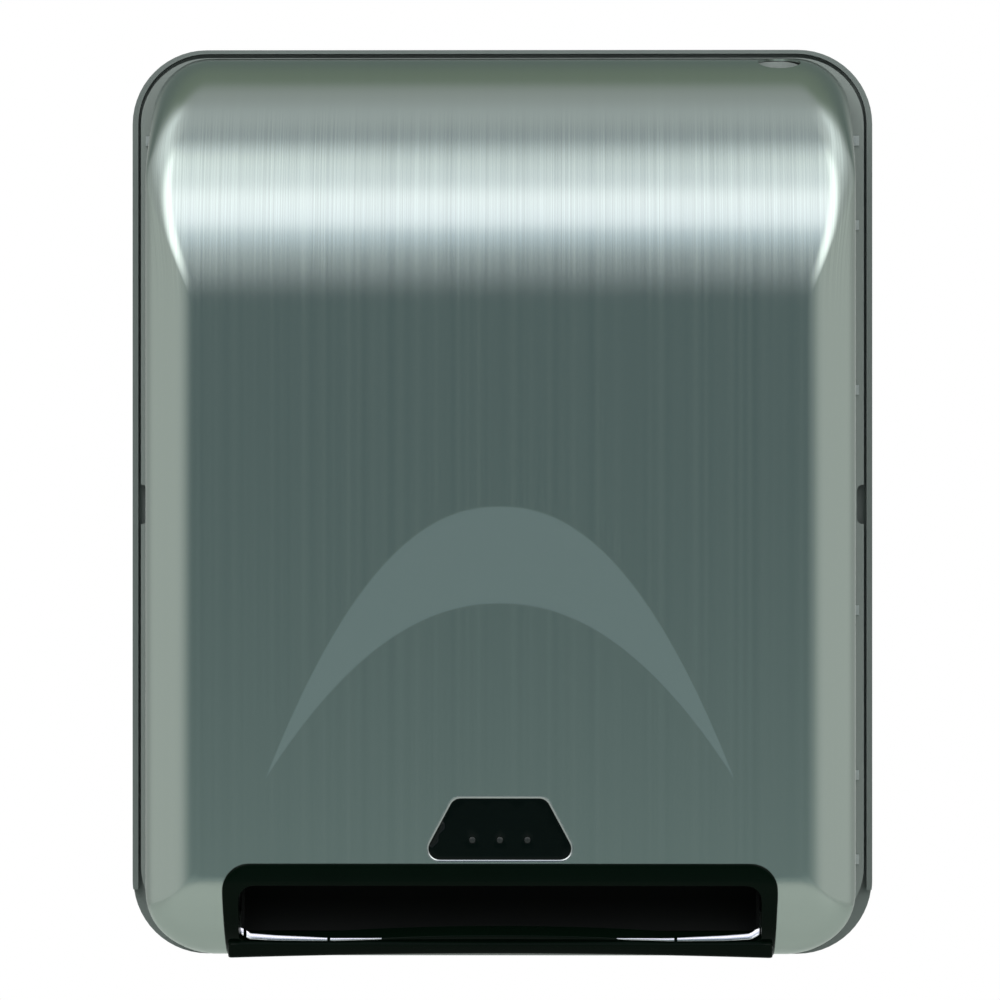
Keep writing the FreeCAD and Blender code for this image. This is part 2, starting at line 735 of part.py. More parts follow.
def roll_lever():
    """The lever that leans on the roll and drops forward as the roll runs low."""
    barrel = rod("X", (lever_y, lever_z), 3.2, (lever_x - 7.5, lever_x + 7.5))
    pin = rod("X", (lever_y, lever_z), lever_pin_radius, (lever_x - 10.5, lever_x + 10.5))
    blade = [(lever_y + 3.2, lever_z), (lever_y + 3.2, lever_z + 72), (lever_y + 1.6, lever_z + 86),
             (lever_y - 0.2, lever_z + 86), (lever_y + 1.2, lever_z + 72), (lever_y + 1.2, lever_z)]
    arm = prism("YZ", blade, [0, 30, 0.6, 0.6, 30, 0], (lever_x - 5, lever_x + 5))
    tip = [(lever_y + 1.9, lever_z + 76), (lever_y + 1.0, lever_z + 86), (lever_y - 0.6, lever_z + 86),
           (lever_y - 0.2, lever_z + 76)]
    pad = prism("YZ", tip, 0.5, (lever_x - 8, lever_x + 8))
    slot = prism("XZ", block(lever_x, lever_z + 38, 2, 24), 1.9, (lever_y - 5, lever_y + 5))
    return join([barrel, pin, arm, pad]).cut(slot)


def control_box():
    """The electronics' box, with a hole in its floor for the motor's lead."""
    cuts = [rod("Y", place_xz, 2.05, (-10, 0)) for place_xz in box_screw_places()[2:]]
    cuts.append(rod("Z", lead_entry, lead_radius + 0.4, (box_z[0] - 1, box_z[0] + 3)))
    return open_box(control_x).cut(Part.makeCompound(cuts))


def control_panel():
    """The control box's front, with openings for the button, the sliders and three signal lamps."""
    corners = block(sum(control_x) / 2, sum(box_z) / 2, (control_x[1] - control_x[0]) / 2,
                    (box_z[1] - box_z[0]) / 2)
    panel = prism("XZ", corners, 3.0, (box_front - panel_thick, box_front))
    through = (box_front - 5, box_front + 1)
    cuts = [rod("Y", (button_x, button_z), button_radius + 0.4, through)]
    cuts += [prism("XZ", block(slider_x, z, 9.5, 3), 1.0, through) for z in slider_z]
    cuts += [rod("Y", (button_x + dx, signal_z), 1.2, through) for dx in (-6.0, 0.0, 6.0)]
    return panel.cut(Part.makeCompound(cuts))


def main_board():
    """The circuit board on its four posts."""
    board_y = (board_face, board_face + 1.6)
    board = box((control_x[0] + 6, control_x[1] - 6), board_y, (box_z[0] + 5, box_z[1] - 5))
    posts = [rod("Y", (x, z), 2.5, (board_face + 1.6, box_rear - box_wall))
             for x in (control_x[0] + 12, control_x[1] - 12) for z in (box_z[0] + 10, box_z[1] - 10)]
    return join([board] + posts)


def board_parts():
    """Switch bodies under the sliders and the button, a chip, capacitors, lamps and the lead's socket."""
    face = board_face
    made = [box((button_x - 6, button_x + 6), (face, face - 7), (button_z - 6, button_z + 6))]
    for z in slider_z:
        made.append(box((slider_x - 9, slider_x + 9), (face, face - 5.5), (z - 3.5, z + 3.5)))
    made.append(box((20, 36), (face, face - 2.2), (-52, -36)))
    made.append(box((88, 98), (face, face - 3), (-62, -50)))
    made += [rod("Y", (22 + 11 * i, -70), 4.0, (face, face - 12)) for i in range(3)]
    x, y = lead_entry
    made.append(box((x - 8, x + 8), (face, y - 4), (box_z[0] + 7, box_z[0] + 15)))
    made += [rod("Y", (button_x + dx, signal_z), 1.0, (face, box_front + 1.0)) for dx in (-6.0, 0.0, 6.0)]
    return Part.makeCompound(made)


def feed_button():
    """The paper feed button, which springs back from its switch."""
    stem = rod("Y", (button_x, button_z), 3.0, (board_face - 7 - button_travel - 0.5, box_front - 0.5))
    collar = rod("Y", (button_x, button_z), button_radius + 1.5, (box_front + 0.5, box_front + 2.0))
    cap = rod("Y", (button_x, button_z), button_radius, (box_front - 6.0, box_front + 0.5))
    dish = Part.makeSphere(24.0, Vec(button_x, box_front - 29.0, button_z))
    return join([stem, collar, cap]).cut(dish)


def setting_slider(index):
    z = slider_z[index]
    base = box((slider_x - 4, slider_x + 4), (-29.7, -41.6), (z - 2.4, z + 2.4))
    knob = box((slider_x - 3, slider_x + 3), (-41.6, -46.5), (z - 2.4, z + 2.4))
    knob = knob.cut(box((slider_x - 0.6, slider_x + 0.6), (-45.8, -48), (z - 3, z + 3)))
    return join([base, knob])


def gear_centres():
    drive = (drive_y, drive_z)
    first = gear_module * (drive_teeth + small_teeth) / 2
    turn = math.radians(idler_angle)
    idler = (drive[0] + first * math.cos(turn), drive[1] + first * math.sin(turn))
    second = gear_module * (big_teeth + pinion_teeth) / 2
    turn = math.radians(motor_angle)
    motor = (idler[0] + second * math.cos(turn), idler[1] + second * math.sin(turn))
    return drive, idler, motor


def side_plate(side):
    """A moulded cheek of the feed module, with feet that screw to pads on the tub's back."""
    drive, idler, motor = gear_centres()
    view = [(cheek_rear, -96), (cheek_rear, module_foot), (-176, module_foot), (-186.5, -168), (-186.5, -100),
            (-174, -82), (-140, -82), (-112, -96)]
    plate = prism("YZ", view, [0, 0, 6, 8, 8, 8, 8, 8], plate_x)
    foot = box((plate_x[1], plate_x[1] + 15), (cheek_rear, cheek_rear - 3), (module_foot, -100))
    bores = [rod("X", drive, bush_radius + 0.02, (100, 130)),
             rod("X", (carrier_y, carrier_z), carrier_pin_radius + running_gap, (100, 130))]
    if side > 0:
        bores += [rod("X", idler, 3.02, (100, 130)), rod("X", motor, 8.1, (100, 130))]
        bores += [rod("X", (motor[0], motor[1] + dz), 1.6, (100, 130)) for dz in motor_screw_offsets]
        bores += [rod("X", place_yz, 1.55, (plate_x[1] - 3, 130)) for place_yz in cover_screw_places()]
    feet_holes = [rod("Y", (x, z), 2.05, (-20, 0)) for x, z in cheek_screw_places() if x > 0]
    plate = join([plate, foot]).cut(Part.makeCompound(bores + feet_holes))
    lighten = [(-20, -112), (-20, -172), (-66, -172), (-66, -112)]
    whole = plate.cut(prism("YZ", lighten, 6.0, (plate_x[0] - 1, plate_x[0] + 1.5)))
    return whole if side > 0 else mirror_x(whole)


def module_base():
    """The module's floor, between the cheeks, with stiffening ribs."""
    floor = box((-plate_x[0], plate_x[0]), (cheek_rear, -172), (module_foot, module_foot + 2))
    ribs = [box((x - 1, x + 1), (-10, -150), (module_foot + 1.5, module_foot + 8))
            for x in (-80, -40, 0, 40, 80)]
    return join([floor] + ribs)


def chute_floor():
    """The sloping back of the towel's chute, ending in a rolled edge behind the mouth."""
    slope = [(-157.5, -131.0), (-159.5, -130.5), (-171.5, -176.0), (-183.5, -192.0), (-181.5, -193.5),
             (-169.5, -177.5)]
    half = plate_x[0]
    parts = [prism("YZ", slope, [0, 0, 18, 0, 0, 20], (-opening_half_width + 0.5, opening_half_width - 0.5))]
    upper = [(-157.5, -131.0), (-159.5, -130.5), (-166.0, -155.0), (-164.0, -155.5)]
    parts.append(prism("YZ", upper, 0, (-half, half)))
    for side in (-1, 1):
        view = [(-163, -146), (-182, -158), (-184, -190.5), (-174, -182)]
        across = (side * (opening_half_width - 1.9), side * (opening_half_width - 0.5))
        parts.append(prism("YZ", view, 0, across))
    return join(parts)


def throat_guard():
    """The front wall of the module, above the mouth, which carries the tear bar and the sensor board."""
    front, back = guard_face, guard_face + 2
    parts = [box((-plate_x[0], plate_x[0]), (front, back), (-166, -126)),
             box((-plate_x[0], plate_x[0]), (front, front + 5), (-128, -126))]
    parts += [rod("Y", place_xz, 2.4, (front - 1.45, front + 0.5)) for place_xz in board_screw_places()]
    for side in (-1, 1):
        parts.append(box((side * (plate_x[0] - 4), side * plate_x[0]), (front, front + 8), (-150, -126)))
    cuts = [rod("Y", place_xz, 1.25, (front - 2, back + 1)) for place_xz in board_screw_places()]
    cuts += [rod("Y", place_xz, 1.55, (front - 2, back + 1)) for place_xz in blade_screw_places()]
    return join(parts).cut(Part.makeCompound(cuts))


def board_screw_places():
    return [(x, -139.0) for x in (-27.5, 27.5)]


def blade_screw_places():
    return [(x, -149.0) for x in (-96.0, 0.0, 96.0)]


def tear_bar():
    """A stainless blade with a saw edge along its foot."""
    pitch = 2 * blade_half / blade_teeth
    foot = -167.5
    points = [(-blade_half, -142.0), (-blade_half, foot)]
    for i in range(blade_teeth):
        left = -blade_half + pitch * i
        points.append((left + pitch / 2, foot - tooth_height))
        points.append((left + pitch, foot))
    points.append((blade_half, -142.0))
    back = guard_face + 2
    blade = prism("XZ", points, 0, (back, back + blade_thick))
    holes = [rod("Y", place_xz, 1.55, (back - 1, back + 3)) for place_xz in blade_screw_places()]
    return blade.cut(Part.makeCompound(holes))


def entry_guide():
    """A bent guide above the drive roller that leads the towel to the nip."""
    view = [(-126, -80.0), (-127.2, -81.4), (-139.5, -88.8), (-139.0, -87.0)]
    return prism("YZ", view, 0, (-plate_x[0], plate_x[0]))


def drive_bushes():
    made = []
    for side in (-1, 1):
        sleeve = tube("X", (drive_y, drive_z), bush_radius, drive_shaft_radius + running_gap, plate_x)
        collar = tube("X", (drive_y, drive_z), bush_radius + 2, drive_shaft_radius + running_gap,
                      (plate_x[0] - 1.2, plate_x[0]))
        bush = join([sleeve, collar])
        made.append(bush if side > 0 else mirror_x(bush))
    return Part.makeCompound(made)


def drive_shaft():
    shaft = rod("X", (drive_y, drive_z), drive_shaft_radius, (-121.5, 129.0))
    ring = tube("X", (drive_y, drive_z), 6.0, drive_shaft_radius - 0.5, (-121.2, -120.3))
    return join([shaft, ring])


def drive_roller():
    """Rubber grip sleeves on the shaft, with shallow grooves between them."""
    made = []
    for i in range(5):
        x = -106 + i * 43
        sleeve = tube("X", (drive_y, drive_z), drive_radius, drive_shaft_radius + 0.02, (x, x + 40))
        grooves = [tube("X", (drive_y, drive_z), drive_radius + 1, drive_radius - 0.8, (x + g, x + g + 2))
                   for g in (9, 19, 29)]
        made.append(sleeve.cut(Part.makeCompound(grooves)))
    return Part.makeCompound(made)


def drive_gear():
    drive, idler, motor = gear_centres()
    span = (gear_plane, gear_plane + small_gear_width)
    wheel = gear(drive_teeth, drive, span, math.radians(idler_angle), drive_shaft_radius + 0.02)
    return wheel.cut(tube("X", drive, 17.5, 8.5, (span[1] - 2, span[1] + 1)))


def idler_gear():
    """The compound wheel: its small gear drives the roller's and its large one meets the pinion."""
    drive, idler, motor = gear_centres()
    toward_drive = math.radians(idler_angle) + math.pi + math.pi / small_teeth
    small = gear(small_teeth, idler, (gear_plane, big_gear_plane), toward_drive, 3.05)
    large = gear(big_teeth, idler, (big_gear_plane, big_gear_face), math.radians(motor_angle), 3.05)
    recess = tube("X", idler, 16.5, 9.0, (big_gear_face - 2, big_gear_face + 1))
    return join([small, large.cut(recess)])


def idler_axle():
    drive, idler, motor = gear_centres()
    pin = rod("X", idler, 3.0, (plate_x[0], big_gear_face + 1.5))
    clip = tube("X", idler, 5.2, 2.5, (big_gear_face + 0.3, big_gear_face + 1.2))
    return join([pin, clip])


def motor_pinion():
    drive, idler, motor = gear_centres()
    toward_idler = math.radians(motor_angle) + math.pi + math.pi / pinion_teeth
    pinion = gear(pinion_teeth, motor, (big_gear_plane - 0.5, big_gear_face + 0.5), toward_idler, 1.0)
    shaft = rod("X", motor, 1.6, (112.0, big_gear_face + 1.0))
    return join([pinion, shaft])


def feed_motor():
    """The geared motor, with two solder tags at its back."""
    drive, idler, motor = gear_centres()
    face = plate_x[0]
    back = face - motor_length
    can = rod("X", motor, motor_radius, (back, face))
    waist = tube("X", motor, motor_radius + 1, motor_radius - 0.8, (face - 32, face - 30))
    nose = rod("X", motor, 8.0, (face, plate_x[1] - 0.5))
    tail = rod("X", motor, 6.0, (back - 3, back))
    body = join([can.cut(waist), nose, tail]).cut(rod("X", motor, 1.7, (face - 6, plate_x[1] + 1)))
    for dz in motor_screw_offsets:
        body = body.cut(rod("X", (motor[0], motor[1] + dz), 1.45, (face - 7, face + 1)))
    tag_x, tag_y = (back - tag_length, back + 0.5), (motor[0] - 1.5, motor[0] + 1.5)
    tags = [box(tag_x, tag_y, (z - 0.4, z + 0.4)) for z in (motor[1] - tag_offset, motor[1] + tag_offset)]
    return join([body] + tags)


def gear_cover():
    """A moulded cover over the gears, open towards the cheek, with three screw tabs."""
    drive, idler, motor = gear_centres()
    wall = 1.8
    reach = ((drive, 23.4), (idler, 22.6), (motor, 15.8))

    def hull(grow, span):
        belts = [belt(a[0], a[1] + grow, b[0], b[1] + grow, span) for a, b in zip(reach, reach[1:])]
        return join(belts)

    outer = hull(wall, (plate_x[1], cover_face))
    tabs = []
    for place_yz in cover_screw_places():
        nearest = min((drive, idler, motor), key=lambda c: math.dist(c, place_yz))
        tabs.append(belt(place_yz, 4.2, nearest, 4.0, (plate_x[1], plate_x[1] + 2.5)))
    cover = join([outer] + tabs).cut(hull(0, (plate_x[1] - 1, cover_face - wall)))
    holes = [rod("X", place_yz, 1.55, (100, 150)) for place_yz in cover_screw_places()]
    return cover.cut(Part.makeCompound(holes))


def cover_screw_places():
    """The cover's three screws, as Y and Z, each just outside one of the gear centres."""
    drive, idler, motor = gear_centres()
    made = []
    for centre, reach, degrees in ((drive, 28.6, 178), (idler, 28.4, -112), (motor, 21.0, 20)):
        turn = math.radians(degrees)
        made.append((centre[0] + reach * math.cos(turn), centre[1] + reach * math.sin(turn)))
    return made


def sensor_board():
    front = guard_face - 1.45
    board = box((-31, 31), (front - 1.6, front), (-158, -133.5))
    holes = [rod("Y", place_xz, 1.25, (front - 3, front + 1)) for place_xz in board_screw_places()]
    return board.cut(Part.makeCompound(holes))


def sensor_parts():
    """An infrared emitter and receiver, three signal lamps and a lead socket."""
    face = guard_face - 3.05
    made = []
    for x in (-8.0, 8.0):
        dome = Part.makeSphere(2.5, Vec(x, face - 3.4, -141.0))
        made.append(join([rod("Y", (x, -141.0), 2.5, (face - 3.4, face)), dome]))
    made += [rod("Y", (i * lens_pitch, lens_z), 1.5, (face - 5, face)) for i in (-1, 0, 1)]
    made.append(box((17, 25), (face - 4, face), (-157, -152)))
    return Part.makeCompound(made)


def pinch_carrier():
    """The sprung frame that presses the pinch roller to the drive roller, with a release tongue."""
    arm = [(carrier_y - 5, carrier_z + 4), (carrier_y + 5, carrier_z + 4), (carrier_y + 7, -114),
           (carrier_y + 1, -119), (carrier_y - 5, -114)]
    parts = []
    for side in (-1, 1):
        parts.append(prism("YZ", arm, 3.0, (side * 111.5, side * 114.5)))
        parts.append(rod("X", (carrier_y, carrier_z), carrier_pin_radius, (side * 112, side * 119.5)))
        parts.append(rod("X", (carrier_y, carrier_z), 2.2, (side * 103, side * 112)))
    parts.append(box((-112, 112), (carrier_y - 7.5, carrier_y - 4.5), (carrier_z - 3, carrier_z + 1.5)))
    tongue = [(-20, carrier_z), (20, carrier_z), (20, carrier_z + 13), (-20, carrier_z + 13)]
    parts.append(prism("XZ", tongue, [0, 0, 5, 5], (carrier_y - 7.5, carrier_y - 5.5)))
    body = join(parts)
    return body.cut(rod("X", pinch_centre(), pinch_shaft_radius + running_gap, (-130, 130)))


def pinch_springs():
    """The two coils round the carrier's inner pins that press the pinch roller home."""
    centre = (carrier_y, carrier_z)
    return Part.makeCompound([coil_spring("X", centre, span, 3.05, 0.5, 6)
                              for span in ((104, 111), (-111, -104))])


def pinch_centre():
    return (drive_y - drive_radius - pinch_radius - nip_gap, drive_z)


def pinch_roller():
    """Soft rings on the pinch shaft, one opposite each drive sleeve."""
    made = []
    for i in range(5):
        x = -102 + i * 43
        made.append(tube("X", pinch_centre(), pinch_radius, pinch_shaft_radius + 0.02, (x, x + 32)))
    return Part.makeCompound(made)


def pinch_shaft():
    return rod("X", pinch_centre(), pinch_shaft_radius, (-115.3, 115.3))


def motor_lead():
    """The motor's sheathed lead to the socket in the control box, and its two bare-ended cores."""
    drive, idler, motor = gear_centres()
    y, z = motor
    tag_end = plate_x[0] - motor_length - tag_length - 0.1
    made = []
    for side in (-1, 1):
        tag_z, core_z = z + side * tag_offset, z + side * 0.7
        core = [Vec(tag_end, y, tag_z), Vec(tag_end - 9, y, tag_z), Vec(tag_end - 19, y, core_z),
                Vec(lead_start_x + 0.1, y, core_z)]
        made.append(cable(core, core_radius))
    entry_x, entry_y = lead_entry
    route = [Vec(lead_start_x, y, z), Vec(lead_start_x - 36, y + 2.6, z + 2.8), Vec(-8.0, -60.0, -126.0),
             Vec(34.0, -40.0, -130.0), Vec(entry_x, entry_y, -128.0), Vec(entry_x, entry_y, box_z[0] + 7.0)]
    return Part.makeCompound(made + [cable(route, lead_radius)])


def pin_spans(grow):
    """The X ranges of the two hinge pins, each a little longer than its knuckles when grown."""
    reach = knuckle_reach + grow
    return [(side * lug_x - reach, side * lug_x + reach) for side in (-1, 1)]


def hinge_pins():
    return Part.makeCompound([rod("X", (hinge_y, hinge_z), hinge_pin_radius, span) for span in pin_spans(0)])


def chassis_screws():
    """Every pan head screw inside the tub, each as a solid of its own."""
    drive, idler, motor = gear_centres()
    made = [screw("Y", place_xz, cheek_rear - 3, 1, 2.0, 7.5) for place_xz in cheek_screw_places()]
    made += [screw("Y", place_xz, tub_back - 3, 1, 2.0, 4.2) for place_xz in bracket_screw_places()]
    made += [screw("Y", place_xz, box_rear - box_wall, 1, 2.0, 3.2) for place_xz in box_screw_places()]
    blade_front = guard_face + 2 + blade_thick
    made += [screw("Y", place_xz, blade_front, -1, 1.5, 2.9) for place_xz in blade_screw_places()]
    made += [screw("Y", place_xz, guard_face - 3.05, 1, 1.2, 3.5) for place_xz in board_screw_places()]
    made += [screw("X", (motor[0], motor[1] + dz), plate_x[1], -1, 1.4, 8.0) for dz in motor_screw_offsets]
    made += [screw("X", place_yz, plate_x[1] + 2.5, -1, 1.5, 5.0) for place_yz in cover_screw_places()]
    ceiling = tub_top - tub_wall
    made += [screw("Z", place_xy, ceiling - 2.5, 1, 1.5, 3.8) for place_xy in keeper_screw_places()]
    return Part.makeCompound(made)


def door_frame():
    """The moulded inner shell of the door, with its rim, ribs, hinge knuckles and lock boss."""
    rim_y = (door_rear - door_rim_thick, door_rear)
    rim = prism("XZ", rect(door_rim_half_width, door_bottom + 6, door_rim_top), [30, 30, 30.5, 30.5], rim_y)
    shell = join([door_solid(frame_outer), rim]).cut(door_solid(frame_inner, door_rear + 1))
    boss = rod("Z", (lock_x, lock_y), 12.5, (lock_boss_foot, door_top - frame_inner))
    boss = boss.common(door_solid(frame_inner - 0.3))
    bars = [box((-150, 150), (front_plane, -150), (z - 0.8, z + 0.8)) for z in (-112.0, -44.0, 24.0, 92.0)]
    bars += [box((x - 0.8, x + 0.8), (front_plane, -150), (-122.0, 150.0)) for x in (-92.0, 0.0, 92.0)]
    ribs = join(bars).common(door_solid(frame_inner - 0.3))
    ribs = ribs.cut(door_solid(frame_inner + rib_height, door_rear + 1))
    frame = join([shell, boss, ribs])
    frame = frame.cut(box((-170, 170), (relief_y, -90), (-220, relief_z)))
    knuckles = []
    for side in (-1, 1):
        for direction in (-1, 1):
            near = side * lug_x + direction * (lug_half + knuckle_gap)
            far = near + direction * knuckle_length
            knuckles.append(rod("X", (hinge_y, hinge_z), knuckle_radius, (near, far)))
            knuckles.append(box((near, far), (hinge_y - 14, hinge_y + 0.8), (door_bottom, hinge_z + 0.6)))
    frame = join([frame, join(knuckles).common(door_solid(frame_outer + 0.1))])
    cuts = front_cuts() + [pull_notch(side) for side in (-1, 1)]
    cuts += [rod("X", (hinge_y, hinge_z), hinge_pin_radius + running_gap, span) for span in pin_spans(0.2)]
    cuts += [rod("Y", place_xz, 1.25, (front_plane + 1.6, front_plane + 6))
             for place_xz in bezel_screw_places()]
    return frame.cut(Part.makeCompound(cuts))


def front_cuts():
    """The openings that the door's frame and skin share: lock, mouth, window and hinge lugs."""
    cuts = [rod("Z", (lock_x, lock_y), barrel_radius + 0.1, (150, 220)),
            mouth_prism(0, (front_plane - 5, mouth_cut_back)),
            window_prism(window_trim + fit_gap, (front_plane - 5, front_plane + 8))]
    for side in (-1, 1):
        across = (side * lug_x - lug_half - knuckle_gap, side * lug_x + lug_half + knuckle_gap)
        cuts.append(box(across, (hinge_y - 8, hinge_y + 8), (-220, hinge_z + 6)))
    return cuts


def pull_notch(side):
    """The finger notch half way up each side of the door's rim."""
    x = sorted((side * (door_rim_half_width - 3.2), side * (door_rim_half_width + 4)))
    corners = [(x[0], -11), (x[1], -11), (x[1], 7), (x[0], 7)]
    radii = [2.9, 0, 0, 2.9] if side > 0 else [0, 2.9, 2.9, 0]
    return prism("XZ", corners, radii, (door_rear - door_rim_thick - 1, door_rear + 1))


def door_skin():
    """The brushed stainless sheet that wraps the frame."""
    skin = door_solid(0).cut(door_solid(skin_thick, door_rear + 1))
    cuts = front_cuts() + [box((-170, 170), (skin_rear, -90), (-220, 220)),
                           box((-170, 170), (relief_y, -90), (-220, relief_z))]
    return skin.cut(Part.makeCompound(cuts))


def skin_clips():
    """Folded steel clips that hold the skin's side edges to the door's rim."""
    made = []
    for z in (-164.0, -125.5, -50.3, 50.3, 125.5, 164.0):
        for side in (-1, 1):
            inner = side * (door_half_width + 0.05)
            outer = side * (door_half_width + 4.4)
            tongue = side * (door_half_width + 1.0)
            foot = box((inner, outer), (skin_rear - 0.9, skin_rear), (z - 2.2, z + 2.2))
            leaf = box((inner, tongue), (skin_rear - 6.0, skin_rear - 0.9), (z - 2.2, z + 2.2))
            dimple = rod("Y", (side * (door_half_width + 2.9), z), 1.1, (skin_rear - 1.7, skin_rear - 0.9))
            made.append(join([foot, leaf, dimple]))
    return Part.makeCompound(made)


def bezel_screw_places():
    return [(x, z) for side in (-1, 1) for x, z in ((side * 128.4, -163.0), (side * 70.0, -155.6))]


def mouth_bezel():
    """The gloss black frame of the mouth, with the chin that the towel leaves over."""
    plug = door_solid(-bezel_proud).common(mouth_prism(-fit_gap, (front_plane - 5, mouth_cut_back)))
    tabs = [rod("Y", place_xz, 4.6, (front_plane, front_plane + 8)) for place_xz in bezel_screw_places()]
    flange = join([mouth_prism(bezel_margin, (front_plane - 5, -176.0))] + tabs)
    flange = flange.cut(window_prism(window_trim + 1.0, (front_plane - 5, -180)))
    inside = frame_inner + 0.1
    bezel = join([plug, flange.common(door_solid(inside))])
    bezel = bezel.cut(door_solid(inside + bezel_flange - 0.1, door_rear + 1))
    foot = mouth_foot_half_width - 1.0
    chin_foot = door_bottom - bezel_chin
    chin_shape = [(-160, chin_foot), (-187, chin_foot), (-191, -195.0), (-189, -190.0), (-160, -197.5)]
    chin = prism("YZ", chin_shape, [0.5, 3, 1.5, 0, 0], (-foot, foot))
    arch_radius = (foot * foot + chin_arch * chin_arch) / 2 / chin_arch
    chin = chin.cut(rod("Y", (0, chin_foot + chin_arch - arch_radius), arch_radius, (-230, -150)))
    opening = prism("XZ", rect(opening_half_width, opening_foot, opening_top), opening_corner, (-215, -176))
    back = box((-opening_half_width, opening_half_width), (-188, -150), (opening_foot - 0.4, -170))
    holes = [rod("Y", place_xz, 1.25, (front_plane, front_plane + 8)) for place_xz in bezel_screw_places()]
    return join([bezel, chin]).cut(Part.makeCompound([opening, back])).cut(Part.makeCompound(holes))


def bezel_screws():
    """Four small screws that hold the mouth's frame from inside the door."""
    seat = front_plane + frame_inner + bezel_flange
    return Part.makeCompound([screw("Y", place_xz, seat, -1, 1.2, 3.4) for place_xz in bezel_screw_places()])


def sensor_window():
    """The dark lens over the sensor and the signal lamps."""
    lens = window_prism(-fit_gap / 2, (front_plane - window_proud, front_plane + window_depth))
    holes = [rod("Y", (i * lens_pitch, lens_z), lens_radius + 0.02, (front_plane - 3, front_plane + 8))
             for i in (-1, 0, 1)]
    return lens.cut(Part.makeCompound(holes))


def window_ring():
    outer = window_prism(window_trim, (front_plane - window_proud, front_plane + window_depth))
    return outer.cut(window_prism(0, (front_plane - 5, front_plane + 8)))


def indicator_lenses():
    span = (front_plane - window_proud - 0.15, front_plane + window_depth)
    return Part.makeCompound([rod("Y", (i * lens_pitch, lens_z), lens_radius, span) for i in (-1, 0, 1)])


def lock_barrel():
    barrel = rod("Z", (lock_x, lock_y), barrel_radius, (lock_barrel_foot, lock_head_z))
    crown = rod("Z", (lock_x, lock_y), barrel_radius, (lock_head_z, lock_head_z + 0.8), barrel_radius - 0.8)
    whole = join([barrel, crown])
    return whole.cut(rod("Z", (lock_x, lock_y), plug_radius + running_gap, (150, 220)))


def lock_nut():
    reach = lock_nut_flats / 2 / math.cos(math.radians(30))
    turns = [math.radians(60 * i + 30) for i in range(6)]
    corners = [(lock_x + reach * math.cos(a), lock_y + reach * math.sin(a)) for a in turns]
    span = (lock_boss_foot - lock_nut_height - 0.1, lock_boss_foot - 0.1)
    nut = prism("XY", corners, 0, span)
    return nut.cut(rod("Z", (lock_x, lock_y), barrel_radius + 0.05, (150, 220)))


def lock_plug():
    plug = rod("Z", (lock_x, lock_y), plug_radius, (cam_top, lock_head_z + 0.3))
    tail = rod("Z", (lock_x, lock_y), 3.4, (cam_top - cam_thick, cam_top))
    keyway = box((lock_x - 0.9, lock_x + 0.9), (lock_y - 3.8, lock_y + 3.8), (lock_head_z - 9, 205))
    head = rod("Z", (lock_x, lock_y), 5.0, (cam_top - cam_thick - 1.8, cam_top - cam_thick))
    return join([plug, tail, head]).cut(keyway)


def lock_cam():
    span = (cam_top - cam_thick, cam_top)
    half = cam_width / 2
    blade = box((lock_x - half, lock_x + half), (lock_y, lock_y + cam_length - half), span)
    tip = rod("Z", (lock_x, lock_y + cam_length - half), half, span)
    eye = rod("Z", (lock_x, lock_y), 7.5, span)
    return join([blade, tip, eye]).cut(rod("Z", (lock_x, lock_y), 3.42, (150, 220)))


NODES = {
    "wall_tub": wall_tub,
    "cable_grommet": cable_grommet,
    "lock_keeper": lock_keeper,
    "arm_brackets": arm_brackets,
    "arm_pivot_pins": arm_pivot_pins,
    "arm_springs": arm_springs,
    "battery_tray": battery_tray,
    "battery_cells": battery_cells,
    "battery_contacts": battery_contacts,
    "battery_lid": battery_lid,
    "roll_lever": roll_lever,
    "control_box": control_box,
    "control_panel": control_panel,
    "main_board": main_board,
    "board_parts": board_parts,
    "feed_button": feed_button,
    "left_side_plate": lambda: side_plate(-1),
    "right_side_plate": lambda: side_plate(1),
    "module_base": module_base,
    "chute_floor": chute_floor,
    "throat_guard": throat_guard,
    "tear_bar": tear_bar,
    "entry_guide": entry_guide,
    "drive_bushes": drive_bushes,
    "drive_shaft": drive_shaft,
    "drive_roller": drive_roller,
    "drive_gear": drive_gear,
    "idler_gear": idler_gear,
    "idler_axle": idler_axle,
    "motor_pinion": motor_pinion,
    "feed_motor": feed_motor,
    "gear_cover": gear_cover,
    "sensor_board": sensor_board,
    "sensor_parts": sensor_parts,
    "pinch_carrier": pinch_carrier,
    "pinch_springs": pinch_springs,
    "pinch_roller": pinch_roller,
    "pinch_shaft": pinch_shaft,
    "motor_lead": motor_lead,
    "hinge_pins": hinge_pins,
    "chassis_screws": chassis_screws,
    "left_roll_arm": lambda: roll_arm(-1),
    "right_roll_arm": lambda: roll_arm(1),
    "left_roll_hub": lambda: roll_hub(-1),
    "right_roll_hub": lambda: roll_hub(1),
    "door_frame": door_frame,
    "door_skin": door_skin,
    "skin_clips": skin_clips,
    "mouth_bezel": mouth_bezel,
    "bezel_screws": bezel_screws,
    "sensor_window": sensor_window,
    "window_ring": window_ring,
    "indicator_lenses": indicator_lenses,
    "lock_barrel": lock_barrel,
    "lock_nut": lock_nut,
    "lock_plug": lock_plug,
    "lock_cam": lock_cam,
    "length_slider": lambda: setting_slider(0),
    "delay_slider": lambda: setting_slider(1),
    "range_slider": lambda: setting_slider(2),
}

os.makedirs("parts", exist_ok=True)
for name, make in NODES.items():
    shape = make()
    sound = all(s.isValid() and s.Volume > 0 for s in shape.Solids)
    print(name, "solids", len(shape.Solids), "volume", round(shape.Volume), "sound", sound)
    shape.exportStep("parts/" + name + ".step")
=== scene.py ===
import math

import bmesh
import bpy
import numpy as np
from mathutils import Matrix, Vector
from mathutils.geometry import delaunay_2d_cdt


